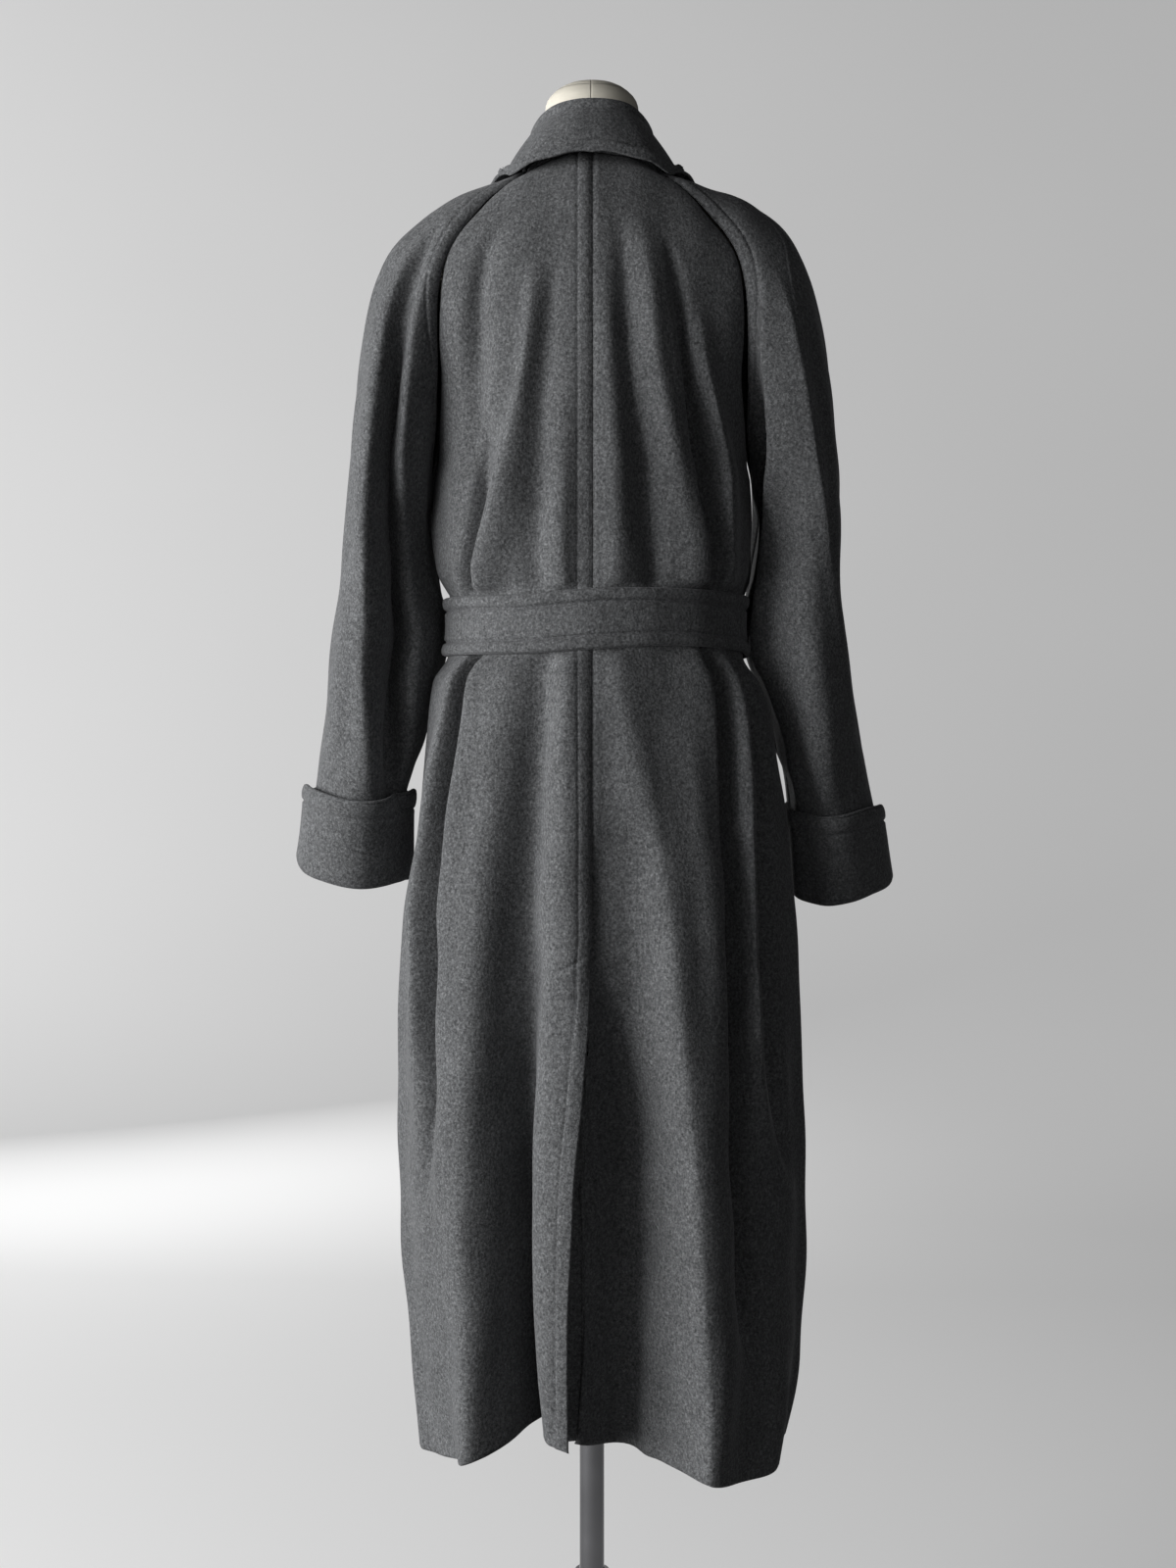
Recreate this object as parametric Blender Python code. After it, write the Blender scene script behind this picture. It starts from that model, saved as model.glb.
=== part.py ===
"""A double-breasted belted wool coat worn by a limbless dress form on a pole stand.

Metres, +Z up. The coat's front faces -Y and its wearer's left is +X.
The origin is the middle of the stand's underside, on the floor.

The coat's surfaces are worked out from tables. A place on the body is a turn in degrees, from the centre back
(0) by the wearer's left side seam (90) to the centre front (180), and by the right one when it is negative,
and a row: 0 at the neckline, 1 at the underarm, 2 at the hem. A place on a sleeve is a turn round its ring,
from the underarm (0) by the back (90) and the outside (180), and a row: 0 at the neck, 1 at the underarm.
"""

import math

import bpy
import numpy as np

# Driving sizes
CLOTH = 0.0025  # wall of the double-faced wool coating
SEAM_GAP = 0.0005  # clear space between two sewn pieces
LAYER = 0.0043  # from one lapped layer of cloth to the next: the cloth and a little air
UNDERARM_Z = 1.270
HEM_Z = 0.372
BELT_Z = 1.1325
BELT_WIDTH = 0.055
BELT_CLOTH = 0.0035
BUTTON_RADIUS = 0.015
BUTTON_THICK = 0.0045
VENT_TOP_Z = 0.830
UNDERLAP = 11.25  # degrees that the right back runs on under the left one below the vent's top
POLE_RADIUS = 0.0115
BASE_RADIUS = 0.190

COLOURS = {
    "wool": ((0.062, 0.064, 0.068), 0.95, 0.0),
    "button": ((0.030, 0.030, 0.032), 0.35, 0.0),
    "canvas": ((0.690, 0.640, 0.560), 0.85, 0.0),
    "steel": ((0.560, 0.550, 0.530), 0.22, 1.0),
}


# Tables

def smooth_read(stations, values, at):
    """The value at a station, on a curve through the rows that never overshoots them."""
    at = np.clip(np.asarray(at, float), stations[0], stations[-1])
    steps = np.diff(stations)
    slopes = np.diff(values) / steps
    product = slopes[:-1] * slopes[1:]
    total = slopes[:-1] + slopes[1:]
    inner = np.where(product > 0, 2 * product / np.where(total == 0, 1, total), 0)
    tangents = np.concatenate([[slopes[0]], inner, [slopes[-1]]])
    row = np.clip(np.searchsorted(stations, at, side="right") - 1, 0, len(steps) - 1)
    step = steps[row]
    share = (at - stations[row]) / step
    rest = 1 - share
    return (
        values[row] * (1 + 2 * share) * rest**2
        + values[row + 1] * share**2 * (3 - 2 * share)
        + tangents[row] * step * share * rest**2
        - tangents[row + 1] * step * rest * share**2
    )


class Table:
    """Rows with named columns. The first column holds the stations, in rising order."""

    def __init__(self, columns, *rows):
        data = np.array(rows, float)
        self.stations = data[:, 0]
        self.data = dict(zip(columns.split(), data.T))

    def __call__(self, column, at):
        return smooth_read(self.stations, self.data[column], at)


# A sleeve by its rows: where its outer line runs, how far in and down its seam or underarm lies,
# its half depth to the back and front, and how wide its ring is open to the body, in degrees.
SLEEVE = Table(
    "row over_x over_z inset drop middle_y back front opening pitch",
    (0.00, 0.066, 1.568, 0.006, 0.012, 0.000, 0.050, 0.050, 90, 0),
    (0.12, 0.094, 1.555, 0.022, 0.011, 0.000, 0.058, 0.060, 90, 0),
    (0.25, 0.120, 1.538, 0.030, 0.014, -0.002, 0.066, 0.070, 90, 0),
    (0.40, 0.150, 1.516, 0.037, 0.022, -0.004, 0.074, 0.078, 86, 0),
    (0.53, 0.178, 1.489, 0.047, 0.025, -0.005, 0.081, 0.084, 78, 0),
    (0.65, 0.193, 1.456, 0.055, 0.023, -0.005, 0.086, 0.088, 65, 0),
    (0.77, 0.203, 1.414, 0.063, 0.021, -0.005, 0.090, 0.090, 50, 0),
    (0.87, 0.209, 1.374, 0.069, 0.021, -0.005, 0.092, 0.091, 35, 0),
    (0.95, 0.214, 1.335, 0.071, 0.022, -0.005, 0.092, 0.091, 18, 0),
    (1.00, 0.218, 1.300, 0.069, 0.030, -0.005, 0.091, 0.090, 0, 0),
    (1.20, 0.222, 1.244, 0.068, 0.022, -0.006, 0.087, 0.086, 0, 2),
    (1.40, 0.225, 1.188, 0.072, 0.015, -0.008, 0.083, 0.082, 0, 5),
    (1.60, 0.235, 1.133, 0.089, 0.008, -0.013, 0.079, 0.078, 0, 12),
    (1.80, 0.250, 1.050, 0.093, 0.004, -0.030, 0.073, 0.072, 0, 18),
    (2.00, 0.265, 0.985, 0.089, 0.002, -0.050, 0.065, 0.064, 0, 22),
    (2.30, 0.279, 0.912, 0.098, 0.000, -0.074, 0.064, 0.063, 0, 23),
)
# The right sleeve sits a little further out at the shoulder, lower at the cuff and clear of the skirt's side.
RIGHT_SLEEVE = Table(
    "row out lower slim",
    (0.00, 0.000, 0.000, 0.000),
    (0.25, 0.011, 0.000, 0.000),
    (1.00, 0.011, 0.000, 0.000),
    (1.30, 0.009, 0.001, 0.000),
    (1.60, 0.003, 0.004, 0.010),
    (1.80, 0.002, 0.008, 0.020),
    (2.00, 0.003, 0.012, 0.014),
    (2.30, 0.003, 0.013, 0.012),
)
# The body above the underarm: the centre lines of back and front, the share of a round that a row spans,
# and where the front's fold line to the lapel crosses it.
YOKE = Table(
    "row back_y back_z front_y front_z span roll_x",
    (0.00, 0.064, 1.563, -0.066, 1.520, 50, 0.050),
    (0.12, 0.075, 1.549, -0.080, 1.506, 52, 0.044),
    (0.25, 0.085, 1.531, -0.093, 1.487, 55, 0.033),
    (0.40, 0.096, 1.503, -0.106, 1.459, 58, 0.014),
    (0.53, 0.104, 1.475, -0.115, 1.433, 62, -0.004),
    (0.65, 0.110, 1.442, -0.122, 1.404, 67, -0.022),
    (0.77, 0.114, 1.403, -0.127, 1.373, 73, -0.042),
    (0.87, 0.116, 1.362, -0.129, 1.342, 79, -0.062),
    (0.95, 0.118, 1.320, -0.130, 1.308, 86, -0.080),
    (1.00, 0.119, 1.270, -0.130, 1.270, 90, -0.095),
)
# The body from the underarm to the hem by height above the floor, lowest first.
BODY = Table(
    "height left right back front side_y",
    (0.350, 0.156, 0.173, 0.100, -0.112, -0.004),
    (0.450, 0.167, 0.188, 0.118, -0.130, -0.004),
    (0.600, 0.178, 0.197, 0.134, -0.144, -0.004),
    (0.750, 0.182, 0.196, 0.138, -0.148, -0.004),
    (0.860, 0.176, 0.189, 0.134, -0.144, -0.003),
    (0.950, 0.163, 0.181, 0.130, -0.138, -0.002),
    (1.030, 0.153, 0.168, 0.126, -0.132, 0.000),
    (1.080, 0.147, 0.155, 0.121, -0.124, 0.000),
    (1.105, 0.134, 0.142, 0.114, -0.114, 0.000),
    (1.132, 0.131, 0.139, 0.113, -0.113, 0.000),
    (1.160, 0.133, 0.141, 0.114, -0.115, 0.000),
    (1.185, 0.145, 0.148, 0.121, -0.124, -0.001),
    (1.225, 0.150, 0.150, 0.121, -0.129, -0.003),
    (1.270, 0.149, 0.149, 0.119, -0.130, -0.005),
)

# Folds of the body: the heights that it runs between, the turn where it lies, how far it stands out
# (or in, when negative) at its top, middle and low end, its half width in degrees and its lean in metres.
FOLD_COLUMNS = (
    "name top middle low at_top at_middle at_low rise_top rise_middle rise_low spread lean"
).split()
BODY_FOLDS = [
    ("left_blade_pleat", 1.46, 1.28, 1.16, 34, 37, 50, 0.000, 0.009, 0.014, 7, 0.008),
    ("left_blade_hollow", 1.44, 1.32, 1.16, 24, 25, 36, 0.000, -0.007, -0.006, 7, 0.0),
    ("left_arm_hollow", 1.34, 1.25, 1.16, 58, 54, 61, 0.000, -0.008, -0.012, 6, 0.0),
    ("spine_hollow", 1.42, 1.31, 1.16, -16, -15, -18, 0.000, -0.006, -0.005, 6, 0.0),
    ("right_blade_ridge", 1.46, 1.33, 1.16, -33, -29, -33, 0.000, 0.006, 0.006, 7, 0.0),
    ("right_blade_groove", 1.42, 1.27, 1.16, -47, -41, -46, 0.000, -0.012, -0.022, 5, 0.0),
    ("right_arm_ridge", 1.42, 1.27, 1.16, -62, -57, -57, 0.000, 0.006, 0.010, 7, 0.0),
    ("left_pleat", 1.11, 0.78, 0.48, 55, 46, 58, 0.012, 0.022, 0.000, 7, 0.016),
    ("left_recess", 1.11, 0.78, 0.42, 65, 57, 68, -0.014, -0.020, 0.000, 7, 0.0),
    ("left_side_edge", 0.99, 0.72, 0.45, 84, 74, 82, 0.000, -0.010, 0.000, 8, 0.0),
    ("left_trough", 1.10, 0.75, 0.35, 27, 29, 23, -0.004, -0.026, -0.088, 12, 0.0),
    ("left_lobe", 0.80, 0.55, 0.35, 46, 50, 50, 0.000, 0.010, 0.034, 13, 0.0),
    ("centre_recess", 0.95, 0.65, 0.35, -10, -10, -8, 0.000, -0.022, -0.066, 17, 0.0),
    ("right_facet", 1.05, 0.70, 0.35, -24, -29, -40, 0.002, 0.016, 0.066, 10, 0.0),
    ("right_pleat", 1.11, 0.75, 0.50, -45, -37, -38, 0.010, 0.016, 0.000, 5, -0.012),
    ("right_recess", 1.11, 0.75, 0.45, -52, -44, -46, -0.018, -0.026, 0.000, 5, 0.0),
    ("right_second", 1.11, 0.80, 0.55, -58, -57, -66, 0.010, 0.014, 0.000, 6, -0.008),
    ("right_side_recess", 1.08, 0.80, 0.52, -68, -67, -76, -0.010, -0.016, 0.000, 6, 0.0),
    ("right_lobe", 0.70, 0.50, 0.35, -58, -58, -56, 0.000, 0.016, 0.052, 14, 0.0),
    ("front_left_flute", 1.08, 0.70, 0.35, 118, 122, 124, 0.006, 0.012, 0.020, 9, 0.0),
    ("front_left_trough", 1.10, 0.70, 0.35, 104, 104, 103, -0.008, -0.016, -0.024, 8, 0.0),
    ("front_right_flute", 1.08, 0.70, 0.35, -116, -119, -121, 0.006, 0.012, 0.018, 9, 0.0),
    ("front_right_trough", 1.10, 0.70, 0.35, -102, -103, -101, -0.008, -0.015, -0.022, 8, 0.0),
    ("front_left_tuck", 1.34, 1.25, 1.16, 118, 122, 124, 0.000, -0.006, -0.010, 7, 0.0),
    ("front_right_tuck", 1.34, 1.25, 1.16, -118, -122, -124, 0.000, -0.006, -0.010, 7, 0.0),
]
# Folds of a sleeve, by its rows: side 1 is the wearer's left.
SLEEVE_FOLDS = [
    (1, 0.45, 1.20, 1.95, 104, 92, 62, 0.000, -0.034, -0.012, 13, -0.006),
    (1, 0.90, 1.45, 2.05, 62, 52, 30, 0.000, 0.008, 0.000, 14, 0.0),
    (-1, 0.45, 1.20, 1.90, 78, 62, 50, 0.000, -0.030, -0.012, 12, 0.004),
    (-1, 0.60, 1.20, 1.95, 118, 100, 84, 0.000, 0.006, 0.004, 20, 0.0),
    (1, 0.50, 1.10, 1.80, 262, 268, 280, 0.000, -0.014, -0.004, 16, 0.0),
    (-1, 0.50, 1.10, 1.80, 266, 272, 282, 0.000, -0.014, -0.004, 16, 0.0),
]
# The seam along the outside of each sleeve, as a turn of its ring.
OVERARM_SEAM = Table(
    "row left right",
    (0.00, 178, 178),
    (0.40, 165, 150),
    (0.80, 152, 116),
    (1.20, 160, 122),
    (1.60, 176, 152),
    (1.95, 180, 180),
    (2.30, 180, 180),
)
# How far past the centre a front's edge reaches, by height.
FRONT_EDGE = Table(
    "height reach",
    (0.350, 0.105),
    (0.900, 0.104),
    (1.132, 0.094),
    (1.270, 0.095),
)
# The hem by turns round the body: how far above or below its mean height it hangs.
HEM = Table(
    "turn lift",
    (-180, 0.004),
    (-110, -0.002),
    (-85, -0.004),
    (-55, 0.001),
    (-20, 0.004),
    (0, 0.006),
    (24, 0.016),
    (48, 0.006),
    (85, -0.012),
    (110, -0.004),
    (180, 0.004),
)
# The collar from the centre back (0) to its front corner (1): the fold, the free edge and how far the
# fall bulges between them, or hollows when negative.
COLLAR = Table(
    "share fold_x fold_y fold_z edge_x edge_y edge_z bulge",
    (0.00, 0.000, 0.060, 1.608, 0.000, 0.0920, 1.5500, 0.003),
    (0.20, 0.032, 0.051, 1.606, 0.048, 0.0850, 1.5480, 0.002),
    (0.40, 0.056, 0.024, 1.600, 0.086, 0.0540, 1.5480, -0.004),
    (0.58, 0.062, -0.016, 1.591, 0.103, -0.0060, 1.5520, -0.009),
    (0.78, 0.060, -0.052, 1.565, 0.114, -0.0740, 1.5060, -0.003),
    (1.00, 0.048, -0.078, 1.530, 0.088, -0.1060, 1.4840, 0.000),
)
# The lapels by the body's rows: how far each reaches outward from the fold line.
LAPEL = Table(
    "row width",
    (0.13, 0.003),
    (0.20, 0.016),
    (0.28, 0.032),
    (0.36, 0.056),
    (0.39, 0.070),
    (0.41, 0.090),
    (0.47, 0.090),
    (0.55, 0.084),
    (0.70, 0.074),
    (0.90, 0.042),
    (1.00, 0.014),
)
# The dress form by height: half width, and how far it reaches back and front.
FORM = Table(
    "height half_width back front",
    (0.905, 0.138, 0.085, -0.080),
    (0.930, 0.146, 0.092, -0.086),
    (1.000, 0.141, 0.093, -0.088),
    (1.080, 0.124, 0.082, -0.080),
    (1.140, 0.112, 0.072, -0.076),
    (1.220, 0.118, 0.080, -0.088),
    (1.310, 0.128, 0.092, -0.106),
    (1.400, 0.134, 0.094, -0.096),
    (1.455, 0.144, 0.086, -0.080),
    (1.490, 0.158, 0.070, -0.064),
    (1.510, 0.1505, 0.057, -0.053),
    (1.530, 0.1262, 0.051, -0.048),
    (1.545, 0.1030, 0.048, -0.046),
    (1.557, 0.0805, 0.046, -0.045),
    (1.568, 0.0565, 0.045, -0.044),
    (1.590, 0.045, 0.042, -0.043),
    (1.640, 0.044, 0.041, -0.042),
)


def ease(share):
    """A soft step from 0 to 1."""
    share = np.clip(share, 0, 1)
    return share * share * (3 - 2 * share)


def vector(x, y, z):
    return np.stack(np.broadcast_arrays(x, y, z), axis=-1).astype(float)


def unit(vectors):
    return vectors / np.maximum(np.linalg.norm(vectors, axis=-1, keepdims=True), 1e-9)


# The sleeves

def sleeve_base(side, turn, row):
    """A point of a sleeve's plain ring and the direction out of the ring."""
    out = RIGHT_SLEEVE("out", row) * (side < 0)
    lower = RIGHT_SLEEVE("lower", row) * (side < 0)
    inset = SLEEVE("inset", row) + out - RIGHT_SLEEVE("slim", row) * (side < 0)
    drop = SLEEVE("drop", row)
    length = np.hypot(inset, drop)
    reach = length / (1 + np.cos(np.radians(SLEEVE("opening", row))))
    angle = np.radians(turn)
    pitch = np.radians(SLEEVE("pitch", row))
    depth = np.where(np.sin(angle) > 0, SLEEVE("back", row), SLEEVE("front", row)) * np.sin(angle)
    inward = reach * (1 + np.cos(angle)) / length
    point = vector(
        side * (SLEEVE("over_x", row) + out - inward * inset),
        SLEEVE("middle_y", row) + depth * np.cos(pitch),
        SLEEVE("over_z", row) - lower - inward * drop - depth * np.sin(pitch),
    )
    outward = vector(-side * np.cos(angle) * inset / length, np.sin(angle), -np.cos(angle) * drop / length)
    return point, unit(outward)


def sleeve_point(side, turn, row):
    """A point of a sleeve's outside, folds and all."""
    turn, row = np.broadcast_arrays(np.asarray(turn, float), np.asarray(row, float))
    point, outward = sleeve_base(side, turn, row)
    opening = SLEEVE("opening", row)
    calm = ease((turn - opening) / 28) * ease((360 - opening - turn) / 28)
    for fold in SLEEVE_FOLDS:
        if fold[0] != side:
            continue
        stations = np.array(fold[1:4])
        at = smooth_read(stations, np.array(fold[4:7], float), row)
        rise = smooth_read(stations, np.array(fold[7:10]), row)
        fade = ease((row - stations[0]) / 0.3 + 1) * ease((stations[2] - row) / 0.2 + 1)
        bump = np.exp(-(((turn - at) / fold[10]) ** 2)) * fade * calm
        along = vector(side * np.sin(np.radians(turn)), np.cos(np.radians(turn)), 0 * turn)
        shape = bump[..., None] * (rise[..., None] * outward + fold[11] * along)
        point = point + shape
    return point


# The body

def height_of(row):
    """Height above the floor of a row below the underarm."""
    return UNDERARM_Z - (row - 1) * (UNDERARM_Z - HEM_Z)


def row_at(height):
    """The row at a height below the underarm."""
    return 1 + (UNDERARM_Z - height) / (UNDERARM_Z - HEM_Z)


def body_base(turn, row, behind=None):
    """A point of the body's plain rings, and the height that its folds go by."""
    turn, row = np.broadcast_arrays(np.asarray(turn, float), np.asarray(row, float))
    turn = (turn + 180) % 360 - 180
    side = np.where(turn < 0, -1, 1)
    away = np.abs(turn)
    behind = away <= 90 if behind is None else behind
    upper = np.clip(row, 0, 1)
    height = height_of(np.maximum(row, 1))
    opening = SLEEVE("opening", upper)
    edge = np.where(behind, opening, 360 - opening)
    left_end, right_end = (sleeve_base(s, edge, upper)[0] for s in (1, -1))
    half = np.where(side > 0, BODY("left", height), BODY("right", height))
    body_end = vector(side * half, BODY("side_y", height), height)
    yoke_end = np.where((side > 0)[..., None], left_end, right_end)
    end = np.where((row < 1)[..., None], yoke_end, body_end)
    yoke_y = np.where(behind, YOKE("back_y", upper), YOKE("front_y", upper))
    yoke_z = np.where(behind, YOKE("back_z", upper), YOKE("front_z", upper))
    centre_y = np.where(row < 1, yoke_y, np.where(behind, BODY("back", height), BODY("front", height)))
    centre_z = np.where(row < 1, yoke_z, height)
    span = np.radians(np.where(row < 1, YOKE("span", upper), 90.0))
    share = np.where(behind, away / 90, (180 - away) / 90)
    x = end[..., 0] * np.sin(span * share) / np.sin(span)
    bow = (np.cos(span * share) - np.cos(span)) / (1 - np.cos(span))
    y = end[..., 1] + (centre_y - end[..., 1]) * bow
    z = centre_z + (end[..., 2] - centre_z) * share**2
    return vector(x, y, z), centre_z


def cinch(height):
    """How much of a fold shows: nearly none of it under the belt."""
    return 1 - 0.92 * ease((0.052 - np.abs(height - BELT_Z)) / 0.022)


def body_point(turn, row):
    """A point of the coat's body, folds and hem and all."""
    turn, row = np.broadcast_arrays(np.asarray(turn, float), np.asarray(row, float))
    flat = (turn + 180) % 360 - 180
    behind = np.abs(flat) <= 90
    point, height = body_base(turn, row, behind)
    ahead, _ = body_base(turn + 0.5, row, behind)
    before, _ = body_base(turn - 0.5, row, behind)
    along = unit((ahead - before) * np.array([1, 1, 0]))
    outward = vector(-along[..., 1], along[..., 0], 0 * height)
    calm = np.where(row < 1, ease(np.abs(90 - np.abs(flat)) / 16), 1.0) * cinch(height)
    for fold in BODY_FOLDS:
        f = dict(zip(FOLD_COLUMNS, fold))
        stations = np.array([f["low"], f["middle"], f["top"]])
        rises = np.array([f["rise_low"], f["rise_middle"], f["rise_top"]])
        at = smooth_read(stations, np.array([f["at_low"], f["at_middle"], f["at_top"]], float), height)
        rise = smooth_read(stations, rises, height)
        fade = ease((f["top"] - height) / 0.03 + 1) * ease((height - f["low"]) / 0.03 + 1)
        lean = f["lean"] * np.abs(rise) / np.abs(rises).max()
        bump = np.exp(-(((flat - at) / f["spread"]) ** 2)) * fade * calm
        point = point + bump[..., None] * (rise[..., None] * outward + lean[..., None] * along)
    lift = HEM("lift", flat) * ease((row - 1.3) / 0.7)
    return point + vector(0, 0, lift)


def body_turn(row, x, side):
    """The turn where a front reaches an x, counted on from that front's side seam past the centre."""
    row = np.asarray(row, float)
    height = height_of(np.maximum(row, 1))
    upper = np.clip(row, 0, 1)
    edge = 360 - SLEEVE("opening", upper)
    own = np.sign(x) * side >= 0
    ends = {s: np.abs(sleeve_base(s, edge, upper)[0][..., 0]) for s in (1, -1)}
    halves = {1: BODY("left", height), -1: BODY("right", height)}
    wide = {s: np.where(row < 1, ends[s], halves[s]) for s in (1, -1)}
    half = np.where(own, wide[side], wide[-side])
    span = np.radians(np.where(row < 1, YOKE("span", upper), 90.0))
    share = np.arcsin(np.clip(np.abs(x) * np.sin(span) / half, 0, 0.999)) / span
    return np.where(own, 180 - 90 * share, 180 + 90 * share)


# Solids

def surface(point_of, turns, rows, flip=1):
    """Points of a surface and the directions straight out of it."""
    turns, rows = np.broadcast_arrays(np.asarray(turns, float), np.asarray(rows, float))
    across = point_of(turns + 0.3, rows) - point_of(turns - 0.3, rows)
    down = point_of(turns, rows + 0.004) - point_of(turns, rows - 0.004)
    return point_of(turns, rows), unit(np.cross(across, down)) * flip


def step_in(point_of, turns, rows, gap):
    """How many degrees a gap takes up."""
    wide = np.linalg.norm(point_of(turns + 0.5, rows) - point_of(turns - 0.5, rows), axis=-1)
    return gap / np.maximum(wide, 1e-6)


def material(slot):
    found = bpy.data.materials.get(slot)
    if found:
        return found
    made = bpy.data.materials.new(slot)
    made.use_nodes = True
    colour, roughness, metallic = COLOURS[slot]
    shader = made.node_tree.nodes["Principled BSDF"]
    shader.inputs["Base Color"].default_value = (*colour, 1)
    shader.inputs["Roughness"].default_value = roughness
    shader.inputs["Metallic"].default_value = metallic
    made.diffuse_color = (*colour, 1)
    return made


def add_solid(name, slot, points, faces):
    """One closed solid from its corners and faces, turned to face outward."""
    points = np.asarray(points, float)
    corners = [(face[0], face[i], face[i + 1]) for face in faces for i in range(1, len(face) - 1)]
    a, b, c = (points[[corner[i] for corner in corners]] for i in range(3))
    if np.einsum("ij,ij->i", a, np.cross(b, c)).sum() < 0:
        faces = [tuple(reversed(face)) for face in faces]
    mesh = bpy.data.meshes.new(name)
    mesh.from_pydata([tuple(map(float, point)) for point in points], [], [tuple(map(int, f)) for f in faces])
    mesh.update()
    mesh.shade_smooth()
    mesh.materials.append(material(slot))
    made = bpy.data.objects.new(name, mesh)
    bpy.context.scene.collection.objects.link(made)
    return made


def cloth_solid(name, slot, outer, inner):
    """A sheet of cloth between two grids of points, closed along its four edges."""
    rows, columns = outer.shape[:2]
    size = rows * columns
    index = np.arange(size).reshape(rows, columns)
    faces = []
    for i in range(rows - 1):
        for j in range(columns - 1):
            a, b, c, d = index[i, j], index[i, j + 1], index[i + 1, j + 1], index[i + 1, j]
            faces += [(a, b, c), (a, c, d)]
            faces += [(c + size, b + size, a + size), (d + size, c + size, a + size)]
    rim = [*index[0], *index[1:, -1], *index[-1, -2::-1], *index[-2:0:-1, 0]]
    for a, b in zip(rim, rim[1:] + rim[:1]):
        faces += [(b, a, a + size), (b, a + size, b + size)]
    points = np.concatenate([outer.reshape(-1, 3), inner.reshape(-1, 3)])
    return add_solid(name, slot, points, faces)


def ring_solid(name, slot, sections):
    """A closed ring from sections that each go round the same number of corners."""
    count, corners = sections.shape[:2]
    index = np.arange(count * corners).reshape(count, corners)
    faces = []
    for i in range(count):
        for j in range(corners):
            a, b = index[i, j], index[i, (j + 1) % corners]
            c, d = index[(i + 1) % count, (j + 1) % corners], index[(i + 1) % count, j]
            faces += [(a, b, c), (a, c, d)]
    return add_solid(name, slot, sections.reshape(-1, 3), faces)


def lofted_solid(name, slot, rings):
    """A solid through rings, closed at both ends."""
    count, corners = rings.shape[:2]
    index = np.arange(count * corners).reshape(count, corners)
    faces = [tuple(index[0][::-1]), tuple(index[-1])]
    for i in range(count - 1):
        for j in range(corners):
            k = (j + 1) % corners
            faces.append((index[i, j], index[i, k], index[i + 1, k], index[i + 1, j]))
    return add_solid(name, slot, rings.reshape(-1, 3), faces)


def turned_solid(name, slot, profile, sides=48, bore=False):
    """A solid turned round the upright axis from its profile of (radius, height) corners."""
    angles = np.arange(sides) * 2 * math.pi / sides
    profile = np.array(profile)
    sections = np.stack([
        np.outer(np.cos(angles), profile[:, 0]),
        np.outer(np.sin(angles), profile[:, 0]),
        np.outer(np.ones(sides), profile[:, 1]),
    ], axis=-1)
    if bore:
        return ring_solid(name, slot, sections)
    return lofted_solid(name, slot, sections.transpose(1, 0, 2))


def lifted(points, clearance, ground, outward):
    """Points moved off a surface until each is clear of it."""
    flat = points.reshape(-1, 3).copy()
    clearance = np.broadcast_to(clearance, points.shape[:-1]).reshape(-1)
    for _ in range(3):
        near = np.linalg.norm(flat[:, None] - ground[None], axis=-1).argmin(axis=1)
        height = np.einsum("ij,ij->i", flat - ground[near], outward[near])
        flat += np.maximum(clearance - height, 0)[:, None] * outward[near]
    return flat.reshape(points.shape)


# Pieces of the coat

YOKE_ROWS = (0.0, 0.14, 0.30, 0.46, 0.62, 0.77, 0.87, 0.94, 1.0)
BODY_HEIGHTS = (1.225, 1.160, 1.105, 1.050, 0.970, 0.880, 0.785, 0.680, 0.575, 0.470)
SLEEVE_ROWS = (1.14, 1.32, 1.50, 1.68, 1.84, 1.95, 2.10, 2.25)
BACK_COLUMNS = 17
FRONT_COLUMNS = 15
SLEEVE_BACK_PARTS = 11
SLEEVE_FRONT_PARTS = 8
SLEEVE_SHIFT = np.array([0.00045, 0.0, 0.0003])  # the space along the raglan seams


def body_rows():
    return np.array([*YOKE_ROWS, *(row_at(height) for height in BODY_HEIGHTS), 2.0])[:, None]


def front_reach(row):
    """How far past the centre a front reaches: to its fold line down to the first button, then to its edge."""
    below = FRONT_EDGE("reach", height_of(np.maximum(row, 1)))
    return np.where(row < 1, -YOKE("roll_x", np.clip(row, 0, 1)), below)


def build_backs():
    rows = body_rows()
    plain = np.linspace(0, 90, BACK_COLUMNS) + 0 * rows
    plain[:, :1] = step_in(body_point, 0.6 + 0 * rows, rows, SEAM_GAP / 2)
    plain[:, -1:] = 90 - step_in(body_point, 89.0 + 0 * rows, rows, SEAM_GAP / 2)
    points, outward = surface(body_point, plain, rows)
    cloth_solid("back_left", "wool", points, points - outward * CLOTH)
    # Below the top of the vent the right half runs on under the left one.
    vent = ease((VENT_TOP_Z - height_of(rows)) / 0.05)
    shares = np.array([0.5, 1.0])
    seam = -plain[:, :1]
    under = np.where(vent > 0, seam + (UNDERLAP * shares - seam * shares) * vent, seam * (1 - 0.5 * shares))
    turns = np.concatenate([-plain[:, ::-1], under], axis=1)
    points, outward = surface(body_point, turns, rows)
    deep = ease((VENT_TOP_Z + 0.13 - height_of(rows)) / 0.08) * ease((turns + 9) / 8)
    points = points - outward * (LAYER * deep)[..., None]
    cloth_solid("back_right", "wool", points, points - outward * CLOTH)


def front_surface(side, turns, rows):
    """A front's outside. The left front lies one layer in where the right one laps over it."""
    points, outward = surface(body_point, turns, rows)
    if side > 0:
        past = ease((turns - 98) / 24)
        points = points - outward * (LAYER * past)[..., None]
    return points, outward


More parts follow.
